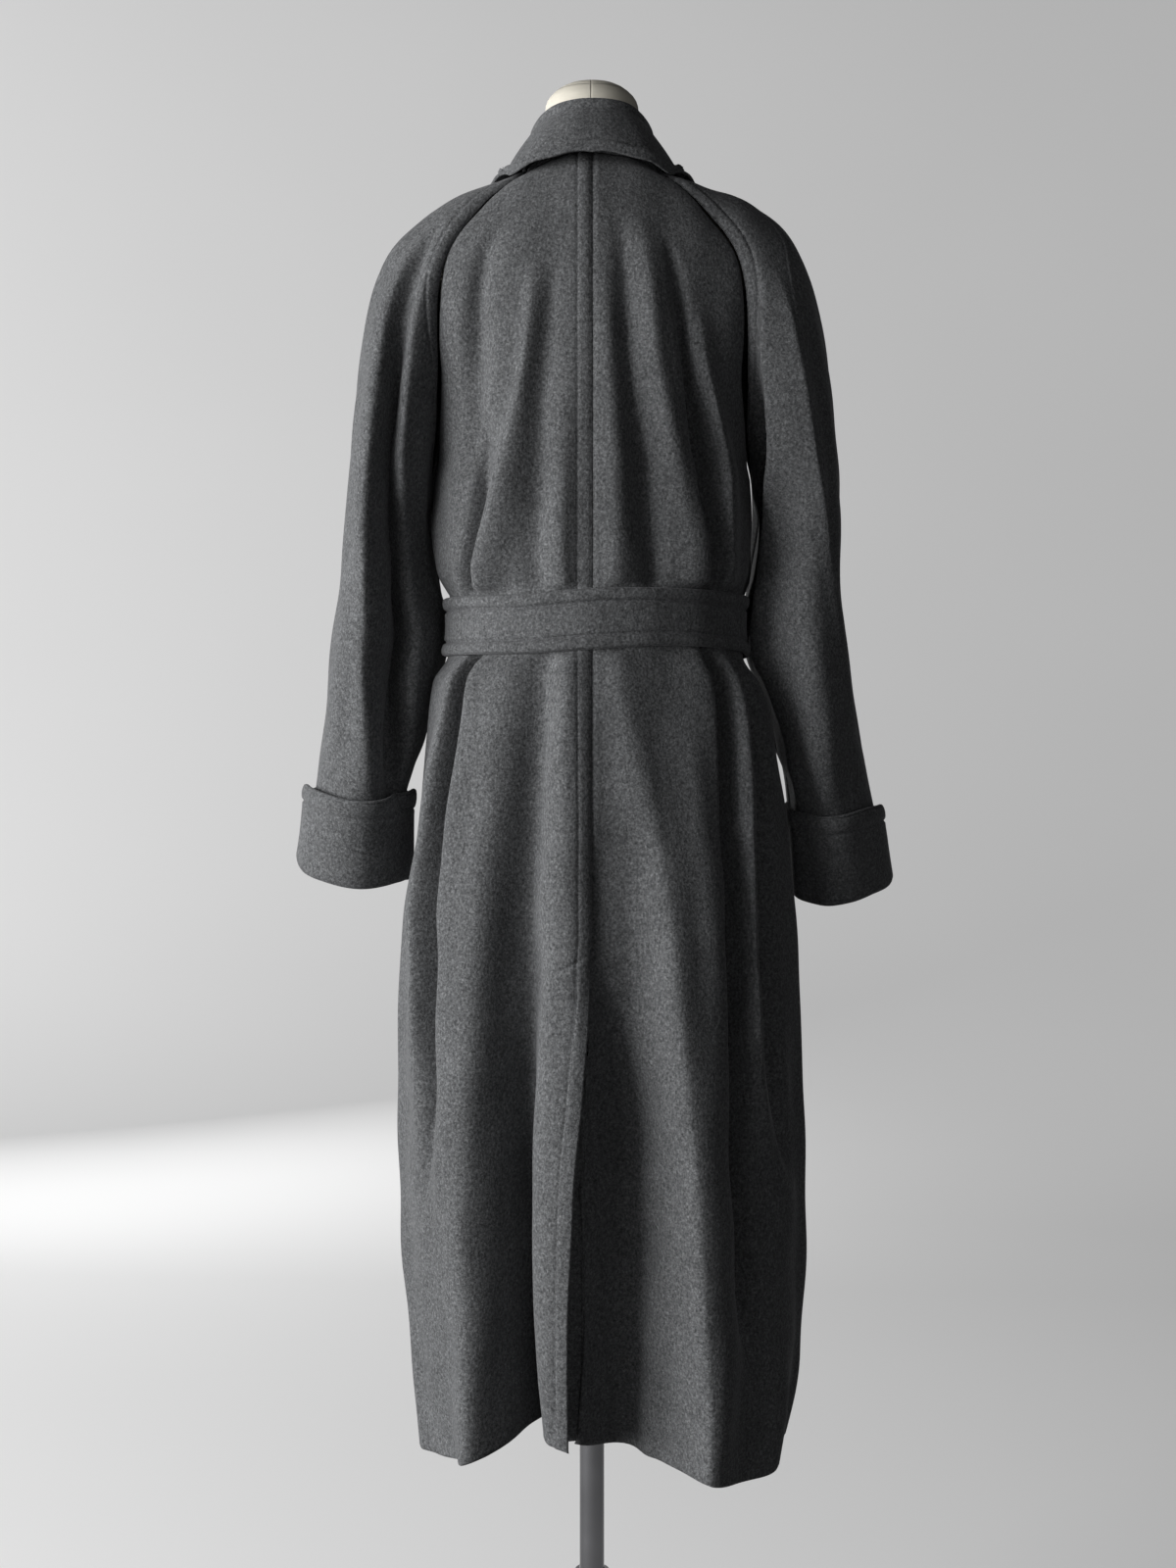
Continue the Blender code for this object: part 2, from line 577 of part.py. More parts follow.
def build_fronts():
    rows = body_rows()
    share = np.linspace(0, 1, FRONT_COLUMNS)
    for name, side in (("front_left", 1), ("front_right", -1)):
        start = 90 + step_in(body_point, 91.0 + 0 * rows, rows, SEAM_GAP / 2)
        end = body_turn(rows, -side * front_reach(rows), side)
        points, outward = front_surface(side, side * (start + (end - start) * share), rows)
        cloth_solid(name, "wool", points, points - outward * CLOTH)


def build_lapels():
    rows = np.array([0.13, 0.21, 0.30, 0.375, 0.41, 0.50, 0.62, 0.77, 0.87, 0.94, 0.985])[:, None]
    share = np.linspace(0, 1, 6)
    for name, side in (("lapel_left", 1), ("lapel_right", -1)):
        fold_x = YOKE("roll_x", rows)
        if side > 0:
            fold_x = np.maximum(fold_x, -fold_x + 0.0015)
        edge_x = np.maximum(YOKE("roll_x", rows) + LAPEL("width", rows), fold_x + 0.004)
        x = side * (fold_x + (edge_x - fold_x) * share)
        turns = side * body_turn(rows, x, side)
        points, outward = front_surface(side, turns, rows)
        under = points + outward * 0.0012
        cloth_solid(name, "wool", under + outward * CLOTH, under)


def build_sleeves():
    rows = np.array([*YOKE_ROWS, *SLEEVE_ROWS])[:, None]
    back_share = np.linspace(0, 1, SLEEVE_BACK_PARTS + 1)
    front_share = np.linspace(0, 1, SLEEVE_FRONT_PARTS + 1)
    for side, word in ((1, "left"), (-1, "right")):
        def point_of(turn, row, side=side):
            return sleeve_point(side, turn, row) + SLEEVE_SHIFT * np.array([side, 1, 1])

        opening = SLEEVE("opening", rows)
        seam = OVERARM_SEAM(word, rows)
        inner_gap = step_in(point_of, opening + 1, rows, SEAM_GAP / 2) * ease((rows - 0.9) / 0.1)
        seam_gap = step_in(point_of, seam, rows, SEAM_GAP / 2)
        back = (opening + inner_gap) + (seam - seam_gap - opening - inner_gap) * back_share
        front_end = 360 - opening - inner_gap
        front = (seam + seam_gap) + (front_end - seam - seam_gap) * front_share
        for name, turns in ((f"sleeve_{word}_back", back), (f"sleeve_{word}_front", front)):
            points, outward = surface(point_of, turns, rows, side)
            cloth_solid(name, "wool", points, points - outward * CLOTH)


def build_cuffs():
    behind = np.linspace(0, 180, SLEEVE_BACK_PARTS + 1)
    ahead = np.linspace(180, 360, SLEEVE_FRONT_PARTS + 1)
    turns = np.concatenate([behind, ahead[1:-1]])
    for side, word in ((1, "left"), (-1, "right")):
        def point_of(turn, row, side=side):
            return sleeve_point(side, turn, row) + SLEEVE_SHIFT * np.array([side, 1, 1])

        def at(row, out, below=0.0):
            points, outward = surface(point_of, turns, np.full(len(turns), row), side)
            down = unit(point_of(turns, row + 0.01) - point_of(turns, row - 0.01))
            return points + outward * out + down * below

        inside, outside = 0.0010, 0.0050
        lip = -CLOTH - inside
        sections = np.stack([
            at(1.95, outside),
            at(1.95, 0.5 * (inside + outside), -0.0012),
            at(1.95, inside),
            at(2.10, inside),
            at(2.25, inside, 0.0008),
            at(2.25, lip, 0.0008),
            at(2.10, lip),
            at(2.10, lip - 0.0015),
            at(2.25, lip - 0.0015, 0.0036),
            at(2.25, outside, 0.0036),
            at(2.10, outside + 0.0008),
        ], axis=1)
        ring_solid(f"cuff_{word}", "wool", sections)


def neck_point(share):
    """The neckline from the centre back (0) round over the sleeve to the front's fold line (1)."""
    back = body_point(90 * np.clip(share / 0.40, 0, 1) - 0.01, 0.0)
    over = sleeve_point(1, 90 + 180 * np.clip((share - 0.40) / 0.38, 0, 1), 0.0)
    end = body_turn(0.0, YOKE("roll_x", 0.0), 1)
    front = body_point(90.01 + (end - 90.01) * np.clip((share - 0.78) / 0.22, 0, 1), 0.0)
    share = np.asarray(share)[..., None]
    return np.where(share <= 0.40, back, np.where(share <= 0.78, over, front))


def coat_cloud():
    """Points over the outside of the upper coat, and the directions out of it."""
    clouds = []
    rows = np.linspace(0, 0.6, 16)[:, None]
    for side in (1, -1):
        for start, end in ((0, 90), (90.02, 182)):
            clouds.append(surface(body_point, side * np.linspace(start, end - 0.02, 24), rows))

        def point_of(turn, row, side=side):
            return sleeve_point(side, turn, row)

        opening = SLEEVE("opening", rows)
        turns = opening + (360 - 2 * opening) * np.linspace(0, 1, 40)
        clouds.append(surface(point_of, turns, rows, side))
    return tuple(np.concatenate([cloud[i].reshape(-1, 3) for cloud in clouds]) for i in (0, 1))


def build_collar():
    share = np.array([
        0, 0.10, 0.20, 0.30, 0.38, 0.46, 0.53, 0.60, 0.66, 0.71, 0.76, 0.83, 0.91, 1.0
    ])
    neck = neck_point(share) + np.array([0, 0, 1.5 * SEAM_GAP])
    fold = vector(*(COLLAR(f"fold_{axis}", share) for axis in "xyz"))
    edge = vector(*(COLLAR(f"edge_{axis}", share) for axis in "xyz"))
    out = unit((edge - neck) * np.array([1, 1, 0]))
    up = np.array([0, 0, 1.0])
    inner = fold - out * 0.0022 - up * 0.0075
    outer = fold + out * 0.0030 - up * 0.0085
    stand = [
        neck,
        inner,
        fold - out * 0.0012 - up * 0.0040,
        fold + out * 0.0014 - up * 0.0040,
        outer,
    ]
    bulge = COLLAR("bulge", share)[:, None] * (out + up * 0.7)
    fall = [
        outer * (1 - down) + edge * down + bulge * math.sin(math.pi * down)
        for down in (0.33, 0.67, 1.0)
    ]
    half = np.stack(stand + fall)
    mirror = half[:, :0:-1] * np.array([-1, 1, 1])
    under = np.concatenate([mirror, half], axis=1)
    clear = np.array([0.0018, 0.0018, 0.0018, 0.0030, 0.0036, 0.0036, 0.0026])[:, None]
    under[1:] = lifted(under[1:], clear, *coat_cloud())
    normals = unit(np.cross(np.gradient(under, axis=1), np.gradient(under, axis=0)))
    cloth_solid("collar", "wool", under + normals * 0.0030, under)


def build_belt():
    turns = np.arange(-180, 180, 5.625)
    heights = np.array([BELT_Z + BELT_WIDTH / 2, BELT_Z - BELT_WIDTH / 2])
    rows = row_at(heights)[:, None]
    points, outward = surface(body_point, turns, rows)
    inner = points + outward * 0.0015
    outer = inner + outward * BELT_CLOTH
    sections = np.concatenate([outer, inner[::-1]]).transpose(1, 0, 2)
    ring_solid("belt", "wool", sections)


def build_belt_ties():
    """The knot at the front and the two ends that hang from it, laid down the right front."""
    angles = np.arange(20) * 2 * math.pi / 20
    rings = []
    for depth, size in ((0.0, 0.86), (0.004, 1.0), (0.011, 0.93), (0.015, 0.62)):
        wide = 0.023 * size * np.sign(np.cos(angles)) * np.abs(np.cos(angles)) ** 0.6
        tall = 0.032 * size * np.sign(np.sin(angles)) * np.abs(np.sin(angles)) ** 0.6
        face = BODY("front", BELT_Z + BELT_WIDTH / 2) - 0.0015 - BELT_CLOTH - 0.0006
        rings.append(vector(wide, face - depth, BELT_Z + tall))
    lofted_solid("belt_knot", "wool", np.stack(rings))
    down = np.linspace(0, 1, 9)[:, None]
    for name, side, lean, length in (("belt_end_left", 1, 0.004, 0.300), ("belt_end_right", -1, 0.006, 0.325)):
        rows = row_at(BELT_Z - 0.036 - length * down)
        width = 0.020 + 0.026 * ease(down * 3)
        x = side * (0.0020 + lean * down + width * np.linspace(0, 1, 5))
        points, outward = surface(body_point, -body_turn(rows, x, -1), rows)
        inner = points + outward * (0.0010 + 0.006 * (1 - ease(down * 4)))[..., None]
        cloth_solid(name, "wool", inner + outward * BELT_CLOTH, inner)


def build_buttons():
    angles = np.arange(16) * 2 * math.pi / 16
    profile = ((0.80, 0.0), (1.0, 0.0014), (0.97, 0.0036), (0.88, BUTTON_THICK), (0.70, 0.0034))
    for row, height in enumerate((1.225, 1.050, 0.880)):
        for side, word in ((1, "left"), (-1, "right")):
            turn = body_turn(row_at(height), side * 0.072, -1)
            centre, outward = surface(body_point, -np.array(turn), row_at(height))
            right = unit(np.cross(outward, np.array([0, 0, 1.0])))
            up = np.cross(right, outward)
            rings = []
            for size, depth in profile:
                around = np.cos(angles)[:, None] * right + np.sin(angles)[:, None] * up
                rings.append(centre + BUTTON_RADIUS * size * around + outward * (0.0006 + depth))
            lofted_solid(f"button_{word}_{row + 1}", "button", np.stack(rings))


# The form and its stand

def build_form():
    heights = np.array([
        0.905, 0.915, 0.950, 1.000, 1.060, 1.110, 1.150, 1.200, 1.260, 1.320, 1.380, 1.425, 1.455, 1.475, 1.490,
        1.500, 1.510, 1.520, 1.530, 1.538, 1.545, 1.551, 1.557, 1.568, 1.585, 1.6085,
    ])
    angles = np.arange(28) * 2 * math.pi / 28
    rings = []
    for height in heights:
        depth = np.where(np.cos(angles) > 0, FORM("back", height), -FORM("front", height))
        squeeze = np.array([0.90 if height == heights[0] else 1.0])
        x = FORM("half_width", height) * np.sin(angles) * squeeze
        rings.append(vector(x, depth * np.cos(angles) * squeeze, height))
    lofted_solid("form_torso", "canvas", np.stack(rings))
    cap = ((0.99, 1.6090), (1.01, 1.6105), (1.0, 1.6150), (0.95, 1.6215), (0.85, 1.6275), (0.70, 1.6320), (0.35, 1.6350))
    rings = []
    for size, height in cap:
        depth = np.where(np.cos(angles) > 0, 0.041, 0.042)
        rings.append(vector(0.044 * size * np.sin(angles), depth * size * np.cos(angles), height))
    lofted_solid("form_cap", "canvas", np.stack(rings))


def build_stand():
    base = ((BASE_RADIUS - 0.003, 0.0), (BASE_RADIUS, 0.003), (BASE_RADIUS, 0.006), (BASE_RADIUS - 0.003, 0.009),
            (0.030, 0.010), (0.024, 0.014), (0.024, 0.022))
    turned_solid("stand_base", "steel", base, 56)
    turned_solid("stand_pole", "steel", ((POLE_RADIUS, 0.0224), (POLE_RADIUS, 0.9046)), 28)
    inner = POLE_RADIUS + 0.0003
    tube = ((inner, 0.0224), (0.0145, 0.0224), (0.0145, 0.236), (0.0165, 0.238), (0.0165, 0.248), (0.0155, 0.250), (inner, 0.250))
    turned_solid("stand_tube", "steel", tube, 28, bore=True)


def main():
    for thing in list(bpy.data.objects):
        bpy.data.objects.remove(thing)
    build_backs()
    build_fronts()
    build_lapels()
    build_sleeves()
    build_cuffs()
    build_collar()
    build_belt()
    build_belt_ties()
    build_buttons()
    build_form()
    build_stand()


main()
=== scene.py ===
"""The looks of a double-breasted wool coat with a tied belt, worn by a limbless dress form on a pole stand.

Metres, +Z up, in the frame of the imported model: the coat's front faces -Y and its wearer's left is +X.
The coat's surfaces are worked out from tables. A place on the body is a turn in degrees, from the centre back
(0) by the wearer's left side seam (90) to the centre front (180), and by the right one when it is negative,
and a row: 0 at the neckline, 1 at the underarm, 2 at the hem. A place on a sleeve is a turn round its ring,
from the underarm (0) by the back (90) and the outside (180), and a row: 0 at the neck, 1 at the underarm.
"""

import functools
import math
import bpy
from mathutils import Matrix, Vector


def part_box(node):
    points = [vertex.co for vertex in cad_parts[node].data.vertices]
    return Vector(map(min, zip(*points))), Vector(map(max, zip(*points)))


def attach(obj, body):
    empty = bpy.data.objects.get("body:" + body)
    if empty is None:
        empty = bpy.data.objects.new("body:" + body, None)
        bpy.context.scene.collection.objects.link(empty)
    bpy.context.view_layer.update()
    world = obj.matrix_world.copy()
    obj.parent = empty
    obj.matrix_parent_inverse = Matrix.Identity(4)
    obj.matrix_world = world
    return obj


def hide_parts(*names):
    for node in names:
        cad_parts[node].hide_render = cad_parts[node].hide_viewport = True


bl_info = {
    "name": "Double-Breasted Coat",
    "version": (1, 0, 0),
    "blender": (4, 5, 0),
    "location": "3D View > Sidebar > Coat",
    "description": "Makes the cloth, the buttons, the dress form and the stand of a belted coat",
    "category": "Object",
}

import bpy
import numpy as np
from bpy.props import FloatProperty, FloatVectorProperty, PointerProperty
from bpy.types import Operator, Panel, PropertyGroup
from mathutils import Matrix, Vector, kdtree

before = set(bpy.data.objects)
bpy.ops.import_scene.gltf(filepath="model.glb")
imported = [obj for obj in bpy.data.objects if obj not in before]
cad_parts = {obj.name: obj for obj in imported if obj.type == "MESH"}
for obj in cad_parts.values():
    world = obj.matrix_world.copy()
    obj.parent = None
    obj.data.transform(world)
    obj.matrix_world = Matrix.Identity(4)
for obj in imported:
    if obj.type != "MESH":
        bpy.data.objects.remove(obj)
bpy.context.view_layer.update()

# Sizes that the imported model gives
BELT_LOW, BELT_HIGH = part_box("belt")
BELT_Z = (BELT_LOW.z + BELT_HIGH.z) / 2
BELT_WIDTH = BELT_HIGH.z - BELT_LOW.z
# Heights and spaces
UNDERARM_Z = 1.270
HEM_Z = 0.372
VENT_TOP_Z = 0.832
SEAM_GAP = 0.0005  # the space between two sewn pieces
LAYER = 0.0043  # from one layer's outside to the next one's, where cloth laps over cloth
SLEEVE_SHIFT = np.array([0.00045, 0.0, 0.0003])  # the space along the raglan seams
SLEEVE_CLEAR = 0.0040  # how far a sleeve's inner side keeps off the body
CUFF_CLEAR = 0.0065  # how much further a cuff does
SOFT_START = 0.004
SIDE_ROWS = 60
NECK_ROWS = 12  # the collar's rows that stand up from the neckline and stay where they are
CORNER_COLUMNS = 14  # the collar's columns at each end that its row of stitches leaves out
FORM_FOOT = 0.905
BUTTON_X = 0.072  # from the centre to each column of buttons
BUTTON_HEIGHTS = (1.225, 1.050, 0.880)
HOLE_OUT = 0.0021  # from a button's middle to its holes, each way
CANVAS_PITCH = 0.0011  # from one thread of the form's canvas to the next
STAGE_UNDER = 0.0003  # how far the studio floor lies under the stand


# Tables

def smooth_read(stations, values, at):
    """The value at a station, on a curve through the rows that never overshoots them."""
    at = np.clip(np.asarray(at, float), stations[0], stations[-1])
    steps = np.diff(stations)
    slopes = np.diff(values) / steps
    product = slopes[:-1] * slopes[1:]
    total = slopes[:-1] + slopes[1:]
    inner = np.where(product > 0, 2 * product / np.where(total == 0, 1, total), 0)
    tangents = np.concatenate([[slopes[0]], inner, [slopes[-1]]])
    row = np.clip(np.searchsorted(stations, at, side="right") - 1, 0, len(steps) - 1)
    step = steps[row]
    share = (at - stations[row]) / step
    rest = 1 - share
    return (
        values[row] * (1 + 2 * share) * rest**2
        + values[row + 1] * share**2 * (3 - 2 * share)
        + tangents[row] * step * share * rest**2
        - tangents[row + 1] * step * rest * share**2
    )


class Table:
    """Rows with named columns. The first column holds the stations, in rising order."""

    def __init__(self, columns, *rows):
        data = np.array(rows, float)
        self.stations = data[:, 0]
        self.data = dict(zip(columns.split(), data.T))

    def __call__(self, column, at):
        return smooth_read(self.stations, self.data[column], at)


class Fold:
    """A fold along the cloth: a path of (station, turn, rise in millimetres), how far it spreads to the side
    of the lower turns and to that of the higher ones, in degrees, how far it leans to the higher ones, in
    millimetres, and how round it is: 2 for a soft roll, nearer 1 for a crease."""

    def __init__(self, path, lower, higher, lean=0, round=2.0, side=0):
        self.stations, self.at, rise = np.array(sorted(path), float).T
        self.rise, self.lean = rise / 1000, lean / 1000
        self.lower, self.higher, self.round, self.side = lower, higher, round, side

    def read(self, turn, station):
        """How far the cloth stands out there, and how far it leans."""
        past = turn - smooth_read(self.stations, self.at, station)
        rise = smooth_read(self.stations, self.rise, station)
        bump = np.exp(-(np.abs(past / np.where(past < 0, self.lower, self.higher)) ** self.round))
        return rise * bump, self.lean * np.abs(rise) / np.abs(self.rise).max() * bump


# A sleeve by its rows: where its outer line runs, how far in and down its seam or underarm lies,
# its half depth to the back and front, and how wide its ring is open to the body, in degrees.
SLEEVE = Table(
    "row over_x over_z inset drop middle_y back front opening pitch",
    (0.00, 0.066, 1.551, 0.006, 0.006, 0.000, 0.050, 0.050, 90, 0),
    (0.12, 0.094, 1.5405, 0.022, 0.006, 0.000, 0.058, 0.060, 90, 0),
    (0.25, 0.120, 1.5335, 0.030, 0.012, -0.002, 0.066, 0.070, 90, 0),
    (0.40, 0.153, 1.516, 0.040, 0.022, -0.004, 0.074, 0.078, 86, 0),
    (0.53, 0.182, 1.489, 0.051, 0.025, -0.005, 0.081, 0.084, 78, 0),
    (0.65, 0.199, 1.456, 0.061, 0.023, -0.005, 0.086, 0.088, 65, 0),
    (0.77, 0.211, 1.414, 0.071, 0.021, -0.005, 0.090, 0.090, 50, 0),
    (0.87, 0.217, 1.374, 0.077, 0.021, -0.005, 0.092, 0.091, 35, 0),
    (0.95, 0.221, 1.335, 0.078, 0.022, -0.005, 0.092, 0.091, 18, 0),
    (1.00, 0.224, 1.300, 0.075, 0.030, -0.005, 0.091, 0.090, 0, 0),
    (1.20, 0.230, 1.244, 0.076, 0.022, -0.006, 0.087, 0.086, 0, 2),
    (1.40, 0.234, 1.188, 0.081, 0.015, -0.008, 0.083, 0.082, 0, 5),
    (1.60, 0.244, 1.133, 0.098, 0.008, -0.013, 0.079, 0.078, 0, 12),
    (1.80, 0.254, 1.050, 0.097, 0.004, -0.030, 0.073, 0.072, 0, 18),
    (2.00, 0.265, 0.983, 0.089, 0.006, -0.050, 0.065, 0.064, 0, 22),
    (2.30, 0.279, 0.912, 0.098, 0.014, -0.074, 0.064, 0.063, 0, 23),
    (2.40, 0.284, 0.888, 0.101, 0.016, -0.082, 0.064, 0.063, 0, 23),
)
# The right sleeve sits a little further out at the shoulder, lower at the cuff and clear of the skirt's side.
RIGHT_SLEEVE = Table(
    "row out lower slim back",
    (0.00, 0.000, 0.000, 0.000, 0.000),
    (0.12, 0.003, -0.002, 0.000, 0.000),
    (0.25, 0.007, 0.001, 0.000, 0.000),
    (0.40, 0.008, 0.000, 0.000, 0.000),
    (0.53, 0.007, 0.000, 0.000, 0.000),
    (0.65, 0.005, 0.000, 0.000, 0.000),
    (0.77, 0.003, 0.000, 0.000, 0.000),
    (1.00, 0.005, 0.000, 0.000, 0.000),
    (1.20, 0.002, 0.000, 0.000, 0.000),
    (1.40, -0.002, 0.002, 0.002, 0.001),
    (1.60, -0.006, 0.005, 0.007, 0.004),
    (1.80, -0.002, 0.011, 0.010, 0.008),
    (2.00, 0.003, 0.014, 0.006, 0.010),
    (2.30, 0.003, 0.014, 0.012, 0.011),
    (2.40, 0.003, 0.014, 0.012, 0.011),
)
# The body above the underarm: the centre lines of back and front, the share of a round that a row spans,
# and where the front's fold line to the lapel crosses it.
YOKE = Table(
    "row back_y back_z front_y front_z span roll_x",
    (0.00, 0.064, 1.560, -0.066, 1.518, 50, 0.050),
    (0.12, 0.075, 1.549, -0.080, 1.506, 52, 0.044),
    (0.25, 0.085, 1.531, -0.093, 1.487, 55, 0.033),
    (0.40, 0.096, 1.503, -0.106, 1.459, 58, 0.014),
    (0.53, 0.104, 1.475, -0.115, 1.433, 62, -0.004),
    (0.65, 0.110, 1.442, -0.122, 1.404, 67, -0.022),
    (0.77, 0.114, 1.403, -0.127, 1.373, 73, -0.042),
    (0.87, 0.116, 1.362, -0.129, 1.342, 79, -0.062),
    (0.95, 0.118, 1.320, -0.130, 1.308, 86, -0.080),
    (1.00, 0.119, 1.270, -0.130, 1.270, 90, -0.095),
)
# The body from the underarm to the hem by height above the floor, lowest first.
BODY = Table(
    "height left right back front side_y",
    (0.350, 0.147, 0.167, 0.100, -0.112, -0.004),
    (0.450, 0.1600, 0.187, 0.118, -0.130, -0.004),
    (0.600, 0.1722, 0.193, 0.134, -0.144, -0.004),
    (0.750, 0.1768, 0.191, 0.138, -0.148, -0.004),
    (0.860, 0.1733, 0.1865, 0.134, -0.144, -0.003),
    (0.950, 0.1605, 0.1805, 0.130, -0.138, -0.002),
    (1.030, 0.153, 0.172, 0.126, -0.132, 0.000),
    (1.080, 0.147, 0.157, 0.121, -0.124, 0.000),
    (1.105, 0.134, 0.142, 0.114, -0.114, 0.000),
    (1.132, 0.131, 0.139, 0.113, -0.113, 0.000),
    (1.160, 0.133, 0.141, 0.114, -0.115, 0.000),
    (1.185, 0.145, 0.148, 0.121, -0.124, -0.001),
    (1.225, 0.150, 0.150, 0.121, -0.129, -0.003),
    (1.270, 0.149, 0.149, 0.119, -0.130, -0.005),
)
